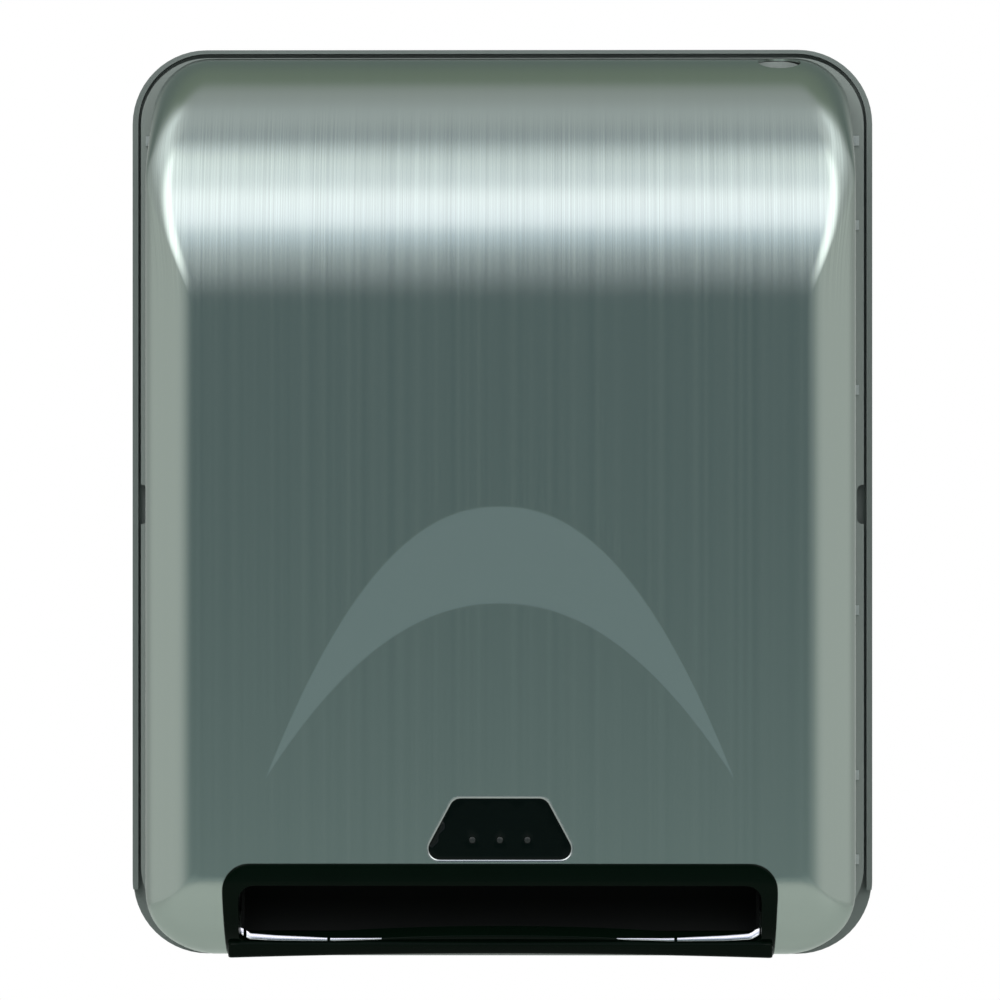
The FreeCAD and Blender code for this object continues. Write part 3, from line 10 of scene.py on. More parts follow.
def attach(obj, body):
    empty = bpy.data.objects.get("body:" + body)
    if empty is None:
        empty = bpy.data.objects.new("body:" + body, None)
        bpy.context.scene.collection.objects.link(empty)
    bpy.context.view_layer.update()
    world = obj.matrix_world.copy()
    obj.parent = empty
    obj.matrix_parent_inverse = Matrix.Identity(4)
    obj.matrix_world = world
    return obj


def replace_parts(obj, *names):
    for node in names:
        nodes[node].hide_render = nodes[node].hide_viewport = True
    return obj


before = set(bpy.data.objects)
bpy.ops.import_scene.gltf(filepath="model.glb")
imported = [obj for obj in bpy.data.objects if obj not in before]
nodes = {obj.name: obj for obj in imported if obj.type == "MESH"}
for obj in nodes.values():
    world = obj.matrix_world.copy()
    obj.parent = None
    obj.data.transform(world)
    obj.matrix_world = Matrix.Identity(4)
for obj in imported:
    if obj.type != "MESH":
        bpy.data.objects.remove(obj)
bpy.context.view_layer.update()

mm = 0.001
print("frame loaded:", len(nodes), "nodes")


# every shape below is worked out in millimetres and stored in metres

def addObject(name, data):
    # a mesh, lamp or camera put into the scene
    made = bpy.data.objects.new(name, data)
    bpy.context.scene.collection.objects.link(made)
    return made


def makeMesh(name, points, faces, body, slot, material=None, uv=None, sharp=35):
    # one welded mesh from points and faces, smooth except where faces meet at more than the sharp angle;
    # it has its slot's finish unless a material is given
    mesh = bpy.data.meshes.new(name)
    mesh.from_pydata((points * mm).tolist(), [], [list(face) for face in faces])
    if uv is not None:
        corners = np.empty(len(mesh.loops), int)
        mesh.loops.foreach_get("vertex_index", corners)
        mesh.uv_layers.new(name="sheet").data.foreach_set("uv", uv[corners].ravel())
    work = bmesh.new()
    work.from_mesh(mesh)
    bmesh.ops.remove_doubles(work, verts=work.verts, dist=2e-6)
    bmesh.ops.dissolve_degenerate(work, edges=work.edges, dist=1e-6)
    work.to_mesh(mesh)
    work.free()
    mesh.shade_smooth()
    mesh.set_sharp_from_angle(angle=math.radians(sharp))
    # an open edge stays sharp when the sheet is thickened
    used = np.empty(len(mesh.loops), int)
    mesh.loops.foreach_get("edge_index", used)
    hard = np.empty(len(mesh.edges), bool)
    marks = mesh.attributes["sharp_edge"].data
    marks.foreach_get("value", hard)
    marks.foreach_set("value", hard | (np.bincount(used, minlength=len(hard)) == 1))
    mesh.materials.append(material or finishes[slot])
    piece = addObject(name, mesh)
    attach(piece, body)
    return piece


def quarterTurn(steps, start=0.0):
    # equal steps from a start angle to a quarter of a turn
    return np.linspace(start, math.pi / 2, steps + 1)


def together(*values):
    # arrays or numbers, spread to one shape, as the coordinates of one grid of points
    return np.stack(np.broadcast_arrays(*values), -1)


def gridFaces(rows, columns, loop=False, start=0):
    # the quads of a grid of points, row after row; loop joins the last column to the first
    across = columns if loop else columns - 1
    row, column = np.meshgrid(np.arange(rows - 1), np.arange(across), indexing="ij")
    here = start + row * columns + column
    right = start + row * columns + (column + 1) % columns
    return np.stack([here, here + columns, right + columns, right], -1).reshape(-1, 4)


def tubeFaces(rows, columns, start=0, pole=False):
    # rings joined row after row, with a face on each end, or on the last alone where the first is a pole
    last = start + (rows - 1) * columns
    ends = [list(range(start, start + columns)), list(range(last + columns - 1, last - 1, -1))]
    return gridFaces(rows, columns, loop=True, start=start).tolist() + ends[pole:]


def roundedLoop(corners, radii, steps, longest):
    # a polygon with each corner replaced by an arc: the arc's middle lies on the corner's bisector,
    # a radius over the sine of half the angle away; straight runs are divided to the longest step
    corners = np.asarray(corners, float)
    pieces = []
    for here, before, after, radius in zip(corners, np.roll(corners, 1, 0), np.roll(corners, -1, 0), radii):
        toBefore = (before - here) / np.linalg.norm(before - here)
        toAfter = (after - here) / np.linalg.norm(after - here)
        half = math.acos(np.clip(toBefore @ toAfter, -1, 1)) / 2
        bisector = toBefore + toAfter
        centre = here + bisector / np.linalg.norm(bisector) * radius / math.sin(half)
        first = here + toBefore * radius / math.tan(half) - centre
        last = here + toAfter * radius / math.tan(half) - centre
        turn = math.acos(np.clip(first @ last / max(radius * radius, 1e-9), -1, 1))
        share = np.linspace(0, 1, steps + 1)[:, None]
        if radius > 0:
            arc = (np.sin((1 - share) * turn) * first + np.sin(share * turn) * last) / math.sin(turn)
            pieces.append(centre + arc)
        else:
            pieces.append(here[None])
    return dividedLoop(np.concatenate(pieces), longest)


def dividedLoop(loop, longest):
    # each side of a loop in equal parts no longer than the longest step
    following = np.roll(loop, -1, 0)
    counts = np.maximum(1, np.ceil(np.linalg.norm(following - loop, axis=1) / longest - 1e-6).astype(int))
    runs = [a + (b - a) * np.arange(n)[:, None] / n for a, b, n in zip(loop, following, counts)]
    return np.concatenate(runs)


def arcPoints(centre, radius, start, end, steps):
    # centre plus the radius times the cosine and sine of each turn, in degrees
    turn = np.radians(np.linspace(start, end, steps + 1))
    return np.asarray(centre) + radius * np.stack([np.cos(turn), np.sin(turn)], 1)


def outwardNormals(loop):
    # at each point the mean of its two edges' normals, stretched so that both edges move by the same step;
    # the loop runs anticlockwise round its material, so outward is to its right
    edge = np.roll(loop, -1, 0) - loop
    edge /= np.linalg.norm(edge, axis=1)[:, None]
    normal = np.stack([edge[:, 1], -edge[:, 0]], 1)
    mean = normal + np.roll(normal, 1, 0)
    return mean / np.maximum((mean * normal).sum(1), 0.5)[:, None]


def insideLoop(points, loop):
    # counts how often a ray to the right of each point crosses the loop: odd is inside
    x, y = points[:, 0, None], points[:, 1, None]
    x0, y0 = loop[:, 0], loop[:, 1]
    x1, y1 = np.roll(x0, -1), np.roll(y0, -1)
    rising = (y0 > y) != (y1 > y)
    at = x0 + (y - y0) * (x1 - x0) / np.where(y1 == y0, 1e-12, y1 - y0)
    return (rising & (x < at)).sum(1) % 2 == 1


def betweenLoops(points, loops):
    # inside the outer loop and outside each hole
    keep = insideLoop(points, loops[0])
    for hole in loops[1:]:
        keep &= ~insideLoop(points, hole)
    return keep


def fillLoops(loops, spacing):
    # triangles between an outer loop and its holes, with points on a square grid in between
    low, high = loops[0].min(0), loops[0].max(0)
    across, along = (np.arange(a + spacing / 2, b, spacing) for a, b in zip(low, high))
    grid = np.stack(np.meshgrid(across, along), -1).reshape(-1, 2)
    grid = grid[betweenLoops(grid, loops)]
    rim = np.concatenate(loops)
    apart = ((rim - grid[:, None]) ** 2).sum(-1).min(1)
    points = np.concatenate([rim, grid[apart > (spacing * 0.45) ** 2]])
    edges, start = [], 0
    for loop in loops:
        order = start + np.arange(len(loop))
        edges += np.stack([order, np.roll(order, -1)], 1).tolist()
        start += len(loop)
    made = delaunay_2d_cdt([Vector(p) for p in points.tolist()], edges, [], 0, 1e-6)
    flat = np.array([tuple(v) for v in made[0]])
    source = np.array([ids[0] for ids in made[3]])
    triangles = np.array(made[2])
    triangles = source[triangles[betweenLoops(flat[triangles].mean(1), loops)]]
    a, b, c = (points[triangles[:, i]] for i in range(3))
    turned = (b - a)[:, 0] * (c - a)[:, 1] - (b - a)[:, 1] * (c - a)[:, 0] < 0
    triangles[turned] = triangles[turned][:, ::-1]
    return points, triangles


def plate(loops, place, top, deep, edge, spacing, steps=5):
    # a closed plate between loops (the outer anticlockwise, holes clockwise): its edges follow a quarter
    # circle from the top face down and run on to the back; place maps (across, along, height) to space
    normals = [outwardNormals(loop) for loop in loops]
    flat, triangles = fillLoops([loop - normal * edge for loop, normal in zip(loops, normals)], spacing)
    rim = np.concatenate(loops)
    back = np.concatenate([rim, flat[len(rim):]])
    points = [together(*flat.T, top), together(*back.T, top - deep)]
    faces = [triangles, triangles[:, ::-1] + len(flat)]
    start = 2 * len(flat)
    angle = quarterTurn(steps)
    out = np.append(edge * np.sin(angle) - edge, 0.0)
    down = np.append(edge * np.cos(angle) - edge, -deep)
    for loop, normal in zip(loops, normals):
        rings = loop + normal * out[:, None, None]
        points.append(together(rings[..., 0], rings[..., 1], (top + down)[:, None]).reshape(-1, 3))
        faces.append(gridFaces(len(out), len(loop), loop=True, start=start))
        start += len(out) * len(loop)
    return place(np.concatenate(points)), [face for block in faces for face in block]


# short ways to add and join shader nodes

def plug(tree, node, inputs):
    # each input is linked to another node's socket, or set to a number or a colour
    for name, value in inputs.items():
        if isinstance(value, bpy.types.NodeSocket):
            tree.links.new(value, node.inputs[name])
        else:
            node.inputs[name].default_value = value
    return node


def addNode(tree, kind, inputs=None, **settings):
    # a node with its settings and inputs; what comes back are its outputs
    made = tree.nodes.new("ShaderNode" + kind)
    for name, value in settings.items():
        setattr(made, name, value)
    return plug(tree, made, inputs or {}).outputs


def calc(tree, operation, *values):
    return addNode(tree, "Math", dict(enumerate(values)), operation=operation)[0]


def vary(tree, value, amount, base):
    # the base plus the amount times how far a noise lies from its middle
    return calc(tree, "MULTIPLY_ADD", calc(tree, "SUBTRACT", value, 0.5), amount, base)


def splitAxes(tree, vector):
    return addNode(tree, "SeparateXYZ", {0: vector})


def scaleBy(tree, vector, factor):
    return addNode(tree, "VectorMath", {0: vector, "Scale": factor}, operation="SCALE")[0]


def noise(tree, place, scale, detail):
    return addNode(tree, "TexNoise", {"Vector": place, "Scale": scale, "Detail": detail})[0]


def blendColour(tree, mask, first, second):
    return addNode(tree, "Mix", {0: mask, 6: first, 7: second}, data_type="RGBA")[2]


def fade(tree, value, low, high, start=0.0, end=1.0):
    # a smooth step of a value between two limits
    inputs = {0: value, 1: low, 2: high, 3: start, 4: end}
    return addNode(tree, "MapRange", inputs, interpolation_type="SMOOTHSTEP")[0]


def ramp(tree, value, stops):
    # a colour ramp from stops of (lift, red, green, blue), -90 to 90 degrees of lift along it
    made = plug(tree, tree.nodes.new("ShaderNodeValToRGB"), {0: value})
    elements = made.color_ramp.elements
    made.color_ramp.interpolation = "EASE"
    while len(elements) < len(stops):
        elements.new(0.5)
    for element, (lift, *colour) in zip(elements, stops):
        element.position = (lift + 90) / 180
        element.color = (*(c / studio["strength"] for c in colour), 1)
    return made.outputs[0]


def newGroup(name, inputs, outputs):
    # from (name, kind, value) inputs and (name, kind) outputs: the group, the sockets that give its inputs
    # inside it, and the node that takes its outputs
    group = bpy.data.node_groups.new(name, "ShaderNodeTree")
    for label, kind, value in inputs:
        socket = group.interface.new_socket(name=label, in_out="INPUT", socket_type="NodeSocket" + kind)
        socket.default_value = value
    for label, kind in outputs:
        group.interface.new_socket(name=label, in_out="OUTPUT", socket_type="NodeSocket" + kind)
    return group, group.nodes.new("NodeGroupInput").outputs, group.nodes.new("NodeGroupOutput")


def objectPlace(tree):
    return addNode(tree, "TexCoord")["Object"]


def mouldGroup():
    # a moulded surface: slow clouds in tone and gloss, and a fine spark-eroded texture as height
    group, given, end = newGroup(
        "mouldedSurface",
        [("Colour", "Color", (0.5, 0.5, 0.5, 1)), ("Tone", "Float", 0.08), ("Roughness", "Float", 0.5),
         ("Spread", "Float", 0.06), ("Texture Size", "Float", 0.4)],
        [("Colour", "Color"), ("Roughness", "Float"), ("Height", "Float")])
    place = objectPlace(group)
    cloud = noise(group, place, 38.0, 3.0)  # about 26 mm across
    grain = noise(group, place, calc(group, "DIVIDE", 1000.0, given["Texture Size"]), 2.0)
    tone = vary(group, cloud, given["Tone"], 1.0)
    tone = vary(group, grain, calc(group, "MULTIPLY", given["Tone"], 0.6), tone)
    rough = vary(group, cloud, given["Spread"], given["Roughness"])
    rough = vary(group, grain, given["Spread"], rough)
    plug(group, end, {"Colour": scaleBy(group, given["Colour"], tone), "Roughness": rough, "Height": grain})
    return group


def brushGroup():
    # long thin scratches: noise squeezed across the grain and stretched along it, in two sizes
    group, given, end = newGroup(
        "brushedLines",
        [("Place", "Vector", (0, 0, 0)), ("Line Width", "Float", 0.25), ("Line Length", "Float", 45.0)],
        [("Lines", "Float"), ("Bands", "Float")])
    part = splitAxes(group, given["Place"])
    shares = {axis: calc(group, "MULTIPLY", part[axis], calc(group, "DIVIDE", 1000.0, given[size]))
              for axis, size in enumerate(("Line Width", "Line Length"))}
    fine = addNode(group, "CombineXYZ", shares)[0]
    broad = scaleBy(group, fine, 0.13)  # the bands are about eight times as wide
    plug(group, end, {"Lines": noise(group, fine, 1.0, 3.0), "Bands": noise(group, broad, 1.0, 2.0)})
    return group


def edgeWearAndSheenGroup():
    # where an edge is painted lighter, partly as rubbed wear and partly as a painted highlight along the edge:
    # the surface normal leans away from the normal averaged over a small reach
    group, given, end = newGroup(
        "rubbedEdgeAndSheen", [("Reach", "Float", 0.0008), ("Noise Size", "Float", 6.0)], [("Mask", "Float")])
    soft = addNode(group, "Bevel", {"Radius": given["Reach"]}, samples=4)[0]
    true = addNode(group, "NewGeometry")["Normal"]
    lean = addNode(group, "VectorMath", {0: soft, 1: true}, operation="DOT_PRODUCT")["Value"]
    edge = fade(group, calc(group, "SUBTRACT", 1.0, lean), 0.02, 0.25)
    patchy = noise(group, objectPlace(group), calc(group, "DIVIDE", 1000.0, given["Noise Size"]), 3.0)
    plug(group, end, {"Mask": calc(group, "MULTIPLY", edge, fade(group, patchy, 0.35, 0.65))})
    return group


def dustGroup():
    # a thin film of dust on faces that look up, thicker in slow patches
    group, given, end = newGroup("settledDust", [("Amount", "Float", 0.2)], [("Mask", "Float")])
    up = splitAxes(group, addNode(group, "TexCoord")["Normal"])[2]
    patch = noise(group, objectPlace(group), 60.0, 4.0)
    level = calc(group, "MULTIPLY", fade(group, up, 0.35, 0.95), fade(group, patch, 0.25, 0.75, 0.3, 1.0))
    plug(group, end, {"Mask": calc(group, "MULTIPLY", level, given["Amount"])})
    return group


groups = {"mould": mouldGroup(), "brush": brushGroup(), "edgeWearAndSheen": edgeWearAndSheenGroup(), "dust": dustGroup()}


def useGroup(tree, name, inputs):
    made = tree.nodes.new("ShaderNodeGroup")
    made.node_tree = groups[name]
    return plug(tree, made, inputs).outputs


def newMaterial(name, roughness, metallic=0.0, **sockets):
    # a Principled surface; values that stay the same all over it are set on its own sockets
    material = bpy.data.materials.new(name)
    material.use_nodes = True
    tree = material.node_tree
    shader = tree.nodes["Principled BSDF"]
    return material, tree, plug(tree, shader, {"Roughness": roughness, "Metallic": metallic, **sockets})


def bump(tree, height, depth):
    # a normal from a height that runs from 0 to 1 over a depth in millimetres
    return addNode(tree, "Bump", {"Height": height, "Distance": depth * mm, "Strength": 1.0})[0]


dustColour = (0.42, 0.41, 0.39, 1)


def mouldedPlastic(name, colour, roughness=0.5, texture=0.4, depth=0.02, tone=0.1, worn=0.0, dust=0.15,
                   **sockets):
    # moulded texture, edges painted lighter in patches (partly rubbed wear, partly a painted edge highlight) and
    # a little dust on what looks up
    material, tree, shader = newMaterial(name, roughness, **sockets)
    base = useGroup(tree, "mould", {"Colour": (*colour, 1), "Roughness": roughness, "Tone": tone,
                                    "Texture Size": texture})
    shade = base["Colour"]
    if worn:
        # the lighter edge colour: partly rubbed wear, partly a painted edge highlight
        light = (*(min(1.0, c * 1.7 + 0.03) for c in colour), 1)
        shade = blendColour(tree, calc(tree, "MULTIPLY", useGroup(tree, "edgeWearAndSheen", {})["Mask"], worn), shade, light)
    if dust:
        shade = blendColour(tree, useGroup(tree, "dust", {"Amount": dust})["Mask"], shade, dustColour)
    plug(tree, shader, {"Base Color": shade, "Roughness": base["Roughness"],
                        "Normal": bump(tree, base["Height"], depth)})
    return material


def brushedMetal(name, colour, roughness=0.3, axis=0, width=0.2, length=20.0, tone=0.12, depth=0.004):
    # fine lines along one axis: 0 is X, 1 is Y, 2 is Z
    material, tree, shader = newMaterial(name, roughness, 1.0)
    part = splitAxes(tree, objectPlace(tree))
    across = calc(tree, "ADD", part[(axis + 1) % 3], part[(axis + 2) % 3])
    place = addNode(tree, "CombineXYZ", {0: across, 1: part[axis]})[0]
    lines = useGroup(tree, "brush", {"Place": place, "Line Width": width, "Line Length": length})
    plug(tree, shader, {"Base Color": scaleBy(tree, colour, vary(tree, lines["Lines"], tone * 2, 1.0)),
                        "Roughness": vary(tree, lines["Bands"], 0.12, roughness),
                        "Normal": bump(tree, lines["Lines"], depth)})
    return material


# the door's brushed steel, in millimetres, with its satin crescent

# the crown tone, with its start and end heights, paints the scratches stronger into the colour across the
# crown's highlight band: painted highlight streaks
doorSteel = {"colour": (0.505, 0.560, 0.528), "roughness": 0.205, "stretch": 0.5, "lineWidth": 0.5,
             "lineLength": 500.0, "lineTone": 0.02, "bandTone": 0.025, "bandGloss": 0.07, "waveDepth": 0.03,
             "crownHighlightStreakTone": 0.55, "highlightBandStart": (0.075, 0.125), "highlightBandEnd": (0.158, 0.178),
             "satinColour": (0.495, 0.575, 0.563), "satinRoughness": 0.27}
crescent = {"outerDrop": 2.9, "outerDepth": 116.0, "outerHalf": 102.0, "outerPower": 2.2,
            "innerDrop": 45.8, "innerDepth": 76.0, "innerHalf": 102.8, "innerPower": 2.1, "softness": 0.5}


def crescentMask(tree, place):
    # between two curves z = -(drop + depth * (|x| / half) ^ power) on the door's flat front
    part = splitAxes(tree, place)
    across = calc(tree, "MULTIPLY", calc(tree, "ABSOLUTE", part[0]), 1000.0)
    down = calc(tree, "MULTIPLY", part[2], -1000.0)
    sides = []
    for name, soft in (("outer", crescent["softness"]), ("inner", -crescent["softness"])):
        share = calc(tree, "DIVIDE", across, crescent[name + "Half"])
        curve = calc(tree, "MULTIPLY_ADD", calc(tree, "POWER", share, crescent[name + "Power"]),
                     crescent[name + "Depth"], crescent[name + "Drop"])
        sides.append(fade(tree, calc(tree, "SUBTRACT", down, curve), -soft, soft))
    return calc(tree, "MULTIPLY", *sides)


def doorSteelMaterial():
    # the grain runs up the sheet, along the second direction of its unrolled map, and spreads highlights
    look = doorSteel
    material, tree, shader = newMaterial("doorSteel", look["roughness"], 1.0, Anisotropic=look["stretch"])
    sheet = addNode(tree, "UVMap", uv_map="sheet")[0]
    lines = useGroup(tree, "brush", {"Place": sheet, "Line Width": look["lineWidth"],
                                     "Line Length": look["lineLength"]})
    place = objectPlace(tree)
    mask = crescentMask(tree, place)
    shade = blendColour(tree, mask, (*look["colour"], 1), (*look["satinColour"], 1))
    # painted highlight: the scratches' contrast in the colour is raised across the crown's band, where the
    # highlight falls, standing in for the light that picks them out there
    up = splitAxes(tree, place)[2]
    highlightBand = calc(tree, "MULTIPLY", fade(tree, up, *look["highlightBandStart"]),
                 fade(tree, up, *look["highlightBandEnd"], 1.0, 0.0))
    strength = calc(tree, "MULTIPLY_ADD", highlightBand, look["crownHighlightStreakTone"] - look["lineTone"], look["lineTone"])
    level = vary(tree, lines["Bands"], look["bandTone"], vary(tree, lines["Lines"], strength, 1.0))
    rough = vary(tree, lines["Bands"], look["bandGloss"], look["roughness"])
    rough = calc(tree, "MULTIPLY_ADD", mask, calc(tree, "SUBTRACT", look["satinRoughness"], rough), rough)
    plug(tree, shader, {"Base Color": scaleBy(tree, shade, level), "Roughness": rough,
                        "Normal": bump(tree, lines["Bands"], look["waveDepth"]),
                        "Tangent": addNode(tree, "Tangent", direction_type="UV_MAP", uv_map="sheet")[0]})
    return material


# the door's sheet, in millimetres; topSpan, mouthBack and lugDepth are depths behind its front

door = {"half": 158.5, "top": 201.7, "foot": -203.4, "front": -203.2, "rear": -109.7, "sideRoll": 23.5,
        "footRoll": 36.2, "crownHigh": 115.0, "crownDeep": 97.2, "corner": 31.0, "topCorner": 25.5,
        "frontCorner": 3.0, "topSpan": 60.0, "frontBand": 1.2, "thick": 0.9, "mouthHalf": 123.2,
        "mouthFoot": 122.3, "mouthTop": -161.1, "mouthCorner": 12.0, "mouthLean": -176.0, "mouthBack": 45.2,
        "lugX": 131.0, "lugHalf": 2.3, "lugDepth": 82.2, "lockX": 126.0, "lockY": -128.0, "lockHole": 9.7,
        "lockMargin": 1.4}
windowShape = {"topHalf": 20.4, "footHalf": 35.0, "top": -132.2, "foot": -159.4, "corner": 5.0,
               "sheetGap": 1.12}


def rollIn(depth, deep, high):
    # how far an edge still has to roll out at a depth: a quarter ellipse, high * (1 - sqrt(1 - share^2))
    share = np.clip((deep - depth) / deep, 0, 1)
    return high * (1 - np.sqrt(1 - share ** 2))


def doorOutline(depth):
    # half width, top, foot and the corner radii of the door at a depth behind its front
    topGrown, footGrown = (np.sin(np.clip(depth / door[span], 0, 1) * math.pi / 2)
                           for span in ("topSpan", "footRoll"))
    return (door["half"] - rollIn(depth, door["sideRoll"], door["sideRoll"]),
            door["top"] - rollIn(depth, door["crownDeep"], door["crownHigh"]),
            door["foot"] + rollIn(depth, door["footRoll"], door["footRoll"]),
            door["frontCorner"] + (door["topCorner"] - door["frontCorner"]) * topGrown,
            door["frontCorner"] + (door["corner"] - door["frontCorner"]) * footGrown)


def mouthHalfAt(z, grow=0.0):
    # the mouth's half width at a height: round corners, an upright part, then sides that lean in
    corner = door["mouthCorner"]
    lean = np.interp(z, [door["foot"] + 2, door["mouthLean"]], [door["mouthFoot"], door["mouthHalf"]])
    into = np.clip(z - (door["mouthTop"] - corner), 0, corner)
    return lean - corner + np.sqrt(corner ** 2 - into ** 2) + grow


def skinColumns(depth):
    # the outline as a ring of points, anticlockwise from the mouth's right edge: foot, corner, side, corner
    # and top, then the same mirrored; the mouth's edge and the lug slots have columns of their own
    side, top, foot, high, low = doorOutline(depth)
    mouth = mouthHalfAt(foot)
    footRight = [(mouth + (side - low - mouth) * s, foot) for s in np.linspace(0, 1, 5)]
    outward = door["lugX"] - door["half"] + door["corner"]
    lug = [math.asin(np.clip((outward + way * door["lugHalf"]) / door["corner"], -1, 1)) for way in (-1, 1)]
    turns = np.unique(np.concatenate([quarterTurn(13, lug[1]), lug]))
    lowRight = [(side - low + low * math.sin(a), foot + low - low * math.cos(a)) for a in turns]
    sideRight = [(side, foot + low + (top - high - foot - low) * s) for s in np.linspace(0, 1, 22)[1:-1]]
    highRight = [(side - high + high * math.cos(a), top - high + high * math.sin(a)) for a in quarterTurn(15)]
    # the top's columns lie closer together near the lock
    topShares = np.concatenate([np.linspace(1, 0.84, 6)[1:], np.linspace(0.84, 0, 12)[1:]])
    right = footRight + lowRight + sideRight + highRight + [((side - high) * s, top) for s in topShares]
    x, z = (np.stack([np.broadcast_to(point[i], depth.shape) for point in right], 1) for i in (0, 1))
    return np.concatenate([x, -x[:, -2::-1]], 1), np.concatenate([z, z[:, -2::-1]], 1), len(footRight)


def skinDepths():
    # rows close together where the roll starts, with one at the mouth's back and one at the lug slots
    rows = [door["sideRoll"] * (1 - np.cos(quarterTurn(29)))]
    for end, steps in ((door["footRoll"], 6), (door["mouthBack"], 5), (door["lugDepth"], 13),
                       (door["rear"] - door["front"], 5)):
        rows.append(np.linspace(rows[-1][-1], end, steps + 1)[1:])
    return np.concatenate(rows)


def windowLoop(grow):
    # the window's trapezium grown all round, with round corners
    topHalf, footHalf, top, foot = (windowShape[name] for name in ("topHalf", "footHalf", "top", "foot"))
    slope = (footHalf - topHalf) / (top - foot)
    wide = grow * math.sqrt(1 + slope * slope)
    low, high = footHalf + wide + grow * slope, topHalf + wide - grow * slope
    corners = [(-low, foot - grow), (low, foot - grow), (high, top + grow), (-high, top + grow)]
    return roundedLoop(corners, [windowShape["corner"] + grow] * 4, steps=8, longest=4.0)


def gridAt(values, index):
    # a grid's values at broken row and column numbers, each the weighted mean of the four round it
    low = np.minimum(index.astype(int), np.array(values.shape[:2]) - 2)
    row, column = low[..., 0], low[..., 1]
    down, along = np.moveaxis(index - low, -1, 0)[..., None]
    upper = values[row, column] * (1 - along) + values[row, column + 1] * along
    lower = values[row + 1, column] * (1 - along) + values[row + 1, column + 1] * along
    return upper * (1 - down) + lower * down


def lockPatch(wrap, depth):
    # the cells round the lock give way to rings of points that close in on its round hole; each ring is
    # border * (1 - share) + circle * share in row and column numbers, and the circle's points lie in the
    # same directions from the lock as the border's
    at, reach = np.array([door["lockX"], door["lockY"]]), door["lockHole"] + door["lockMargin"]
    behind = at[1] - door["front"]
    first, last = np.searchsorted(depth, behind - reach) - 1, np.searchsorted(depth, behind + reach)
    x = wrap[first:last + 1, :, 0]
    upper = wrap[last, :, 2] > 0
    right = np.flatnonzero((x > at[0] + reach).all(0) & upper)[-1]
    left = np.flatnonzero((x < at[0] - reach).all(0) & upper)[0]
    rows, columns = np.arange(first, last), np.arange(right, left)
    border = np.concatenate([together(first, columns), together(rows, left), together(last, columns[::-1] + 1),
                             together(rows[::-1] + 1, right)]).astype(float)
    away = gridAt(wrap, border)[:, :2] - at
    circle = at + away / np.linalg.norm(away, axis=1)[:, None] * door["lockHole"]
    row = np.interp(circle[:, 1] - door["front"], depth, np.arange(len(depth)))
    across = gridAt(wrap, together(row[:, None], np.arange(right, left + 1)))[..., 0]
    step = (across > circle[:, :1]).sum(1) - 1
    order = np.arange(len(step))
    near, far = across[order, step], across[order, step + 1]
    inner = together(row, right + step + (near - circle[:, 0]) / (near - far))
    share = np.array([0.0, 0.3, 0.6, 0.85, 1.0])[:, None, None]
    return border * (1 - share) + inner * share, (first, last, right, left)


def unrolledMap(x, z, depth):
    # the unrolled sheet, so that its grain stays upright: across, x plus what has rolled back to the side;
    # up, the height plus or minus what the middle of the door has rolled back at that height
    tangent = np.gradient(together(x, z), axis=1)
    sideways = np.abs(tangent[..., 1]) / np.maximum(np.linalg.norm(tangent, axis=-1), 1e-9)
    middle = rollIn(door["top"] - z, door["crownHigh"], door["crownDeep"])
    middle += rollIn(z - door["foot"], door["footRoll"], door["footRoll"])
    behind = depth[:, None] - middle
    return together(x + np.sign(x) * sideways * behind, z + np.sign(z) * (middle + (1 - sideways) * behind))


def frontFill(front):
    # the flat front, inside the first row, above the mouth and round the window; a narrow band inside the
    # roll's start keeps the flat's shading flat, and closes up at the mouth's feet
    count = len(front)
    ring = np.concatenate([front, mouthEdge()])
    order = np.arange(count - 1)
    taper = np.zeros((len(ring), 1))
    taper[:count, 0] = door["frontBand"] * np.clip(np.append(np.minimum(order, count - 1 - order), 0) / 3, 0, 1)
    hole = windowLoop(windowShape["sheetGap"])[::-1]
    flat, triangles = fillLoops([ring - outwardNormals(ring) * taper, hole], spacing=9.0)
    band = np.stack([order, order + 1, order + 1 + len(ring), order + len(ring)], 1)
    return np.concatenate([ring, flat]), [band, triangles + len(ring)]


def makeSkin(material):
    depth = skinDepths()
    x, z, footCount = skinColumns(depth)
    wrap, uv = together(x, (door["front"] + depth)[:, None], z), unrolledMap(x, z, depth)
    # cells that are left out: the two lug slots behind their depth, and those round the lock
    rings, (first, last, right, left) = lockPatch(wrap, depth)
    row, column = np.indices((len(x) - 1, x.shape[1] - 1)).reshape(2, -1)
    slot = np.isin(column, (footCount, x.shape[1] - 2 - footCount))
    slot &= ((depth[:-1] + depth[1:]) / 2)[row] > door["lugDepth"]
    hole = (row >= first) & (row < last) & (column >= right) & (column < left)
    # the strip under the mouth, from its back edge to the sheet's rear edge
    rear = depth >= door["mouthBack"] - 1e-6
    under = wrap[rear][:, :1]
    strip = together(under[..., 0] * np.linspace(-1, 1, 40), under[..., 1], under[..., 2])
    flat, flatFaces = frontFill(together(x[0], z[0]))
    parts = ((wrap, uv, [gridFaces(*x.shape)[~(slot | hole)]]),
             (strip, together(strip[..., 0], uv[rear][:, :1, 1]), [gridFaces(*strip.shape[:2])]),
             (together(flat[:, 0], door["front"], flat[:, 1]), flat, flatFaces),
             (gridAt(wrap, rings), gridAt(uv, rings), [gridFaces(*rings.shape[:2], loop=True)]))
    faces, start = [], 0
    for places, _, blocks in parts:
        faces += [face for block in blocks for face in block + start]
        start += places.size // 3
    points, sheet = (np.concatenate([part[i].reshape(-1, 3 - i) for part in parts]) for i in (0, 1))
    skin = makeMesh("doorSkin", points, faces, "door", "door_steel", material, sheet * mm, sharp=50)
    wall = skin.modifiers.new("sheet", "SOLIDIFY")
    wall.thickness = door["thick"] * mm
    wall.offset = -1
    wall.use_even_offset = True
    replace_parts(skin, "door_skin")
    return skin


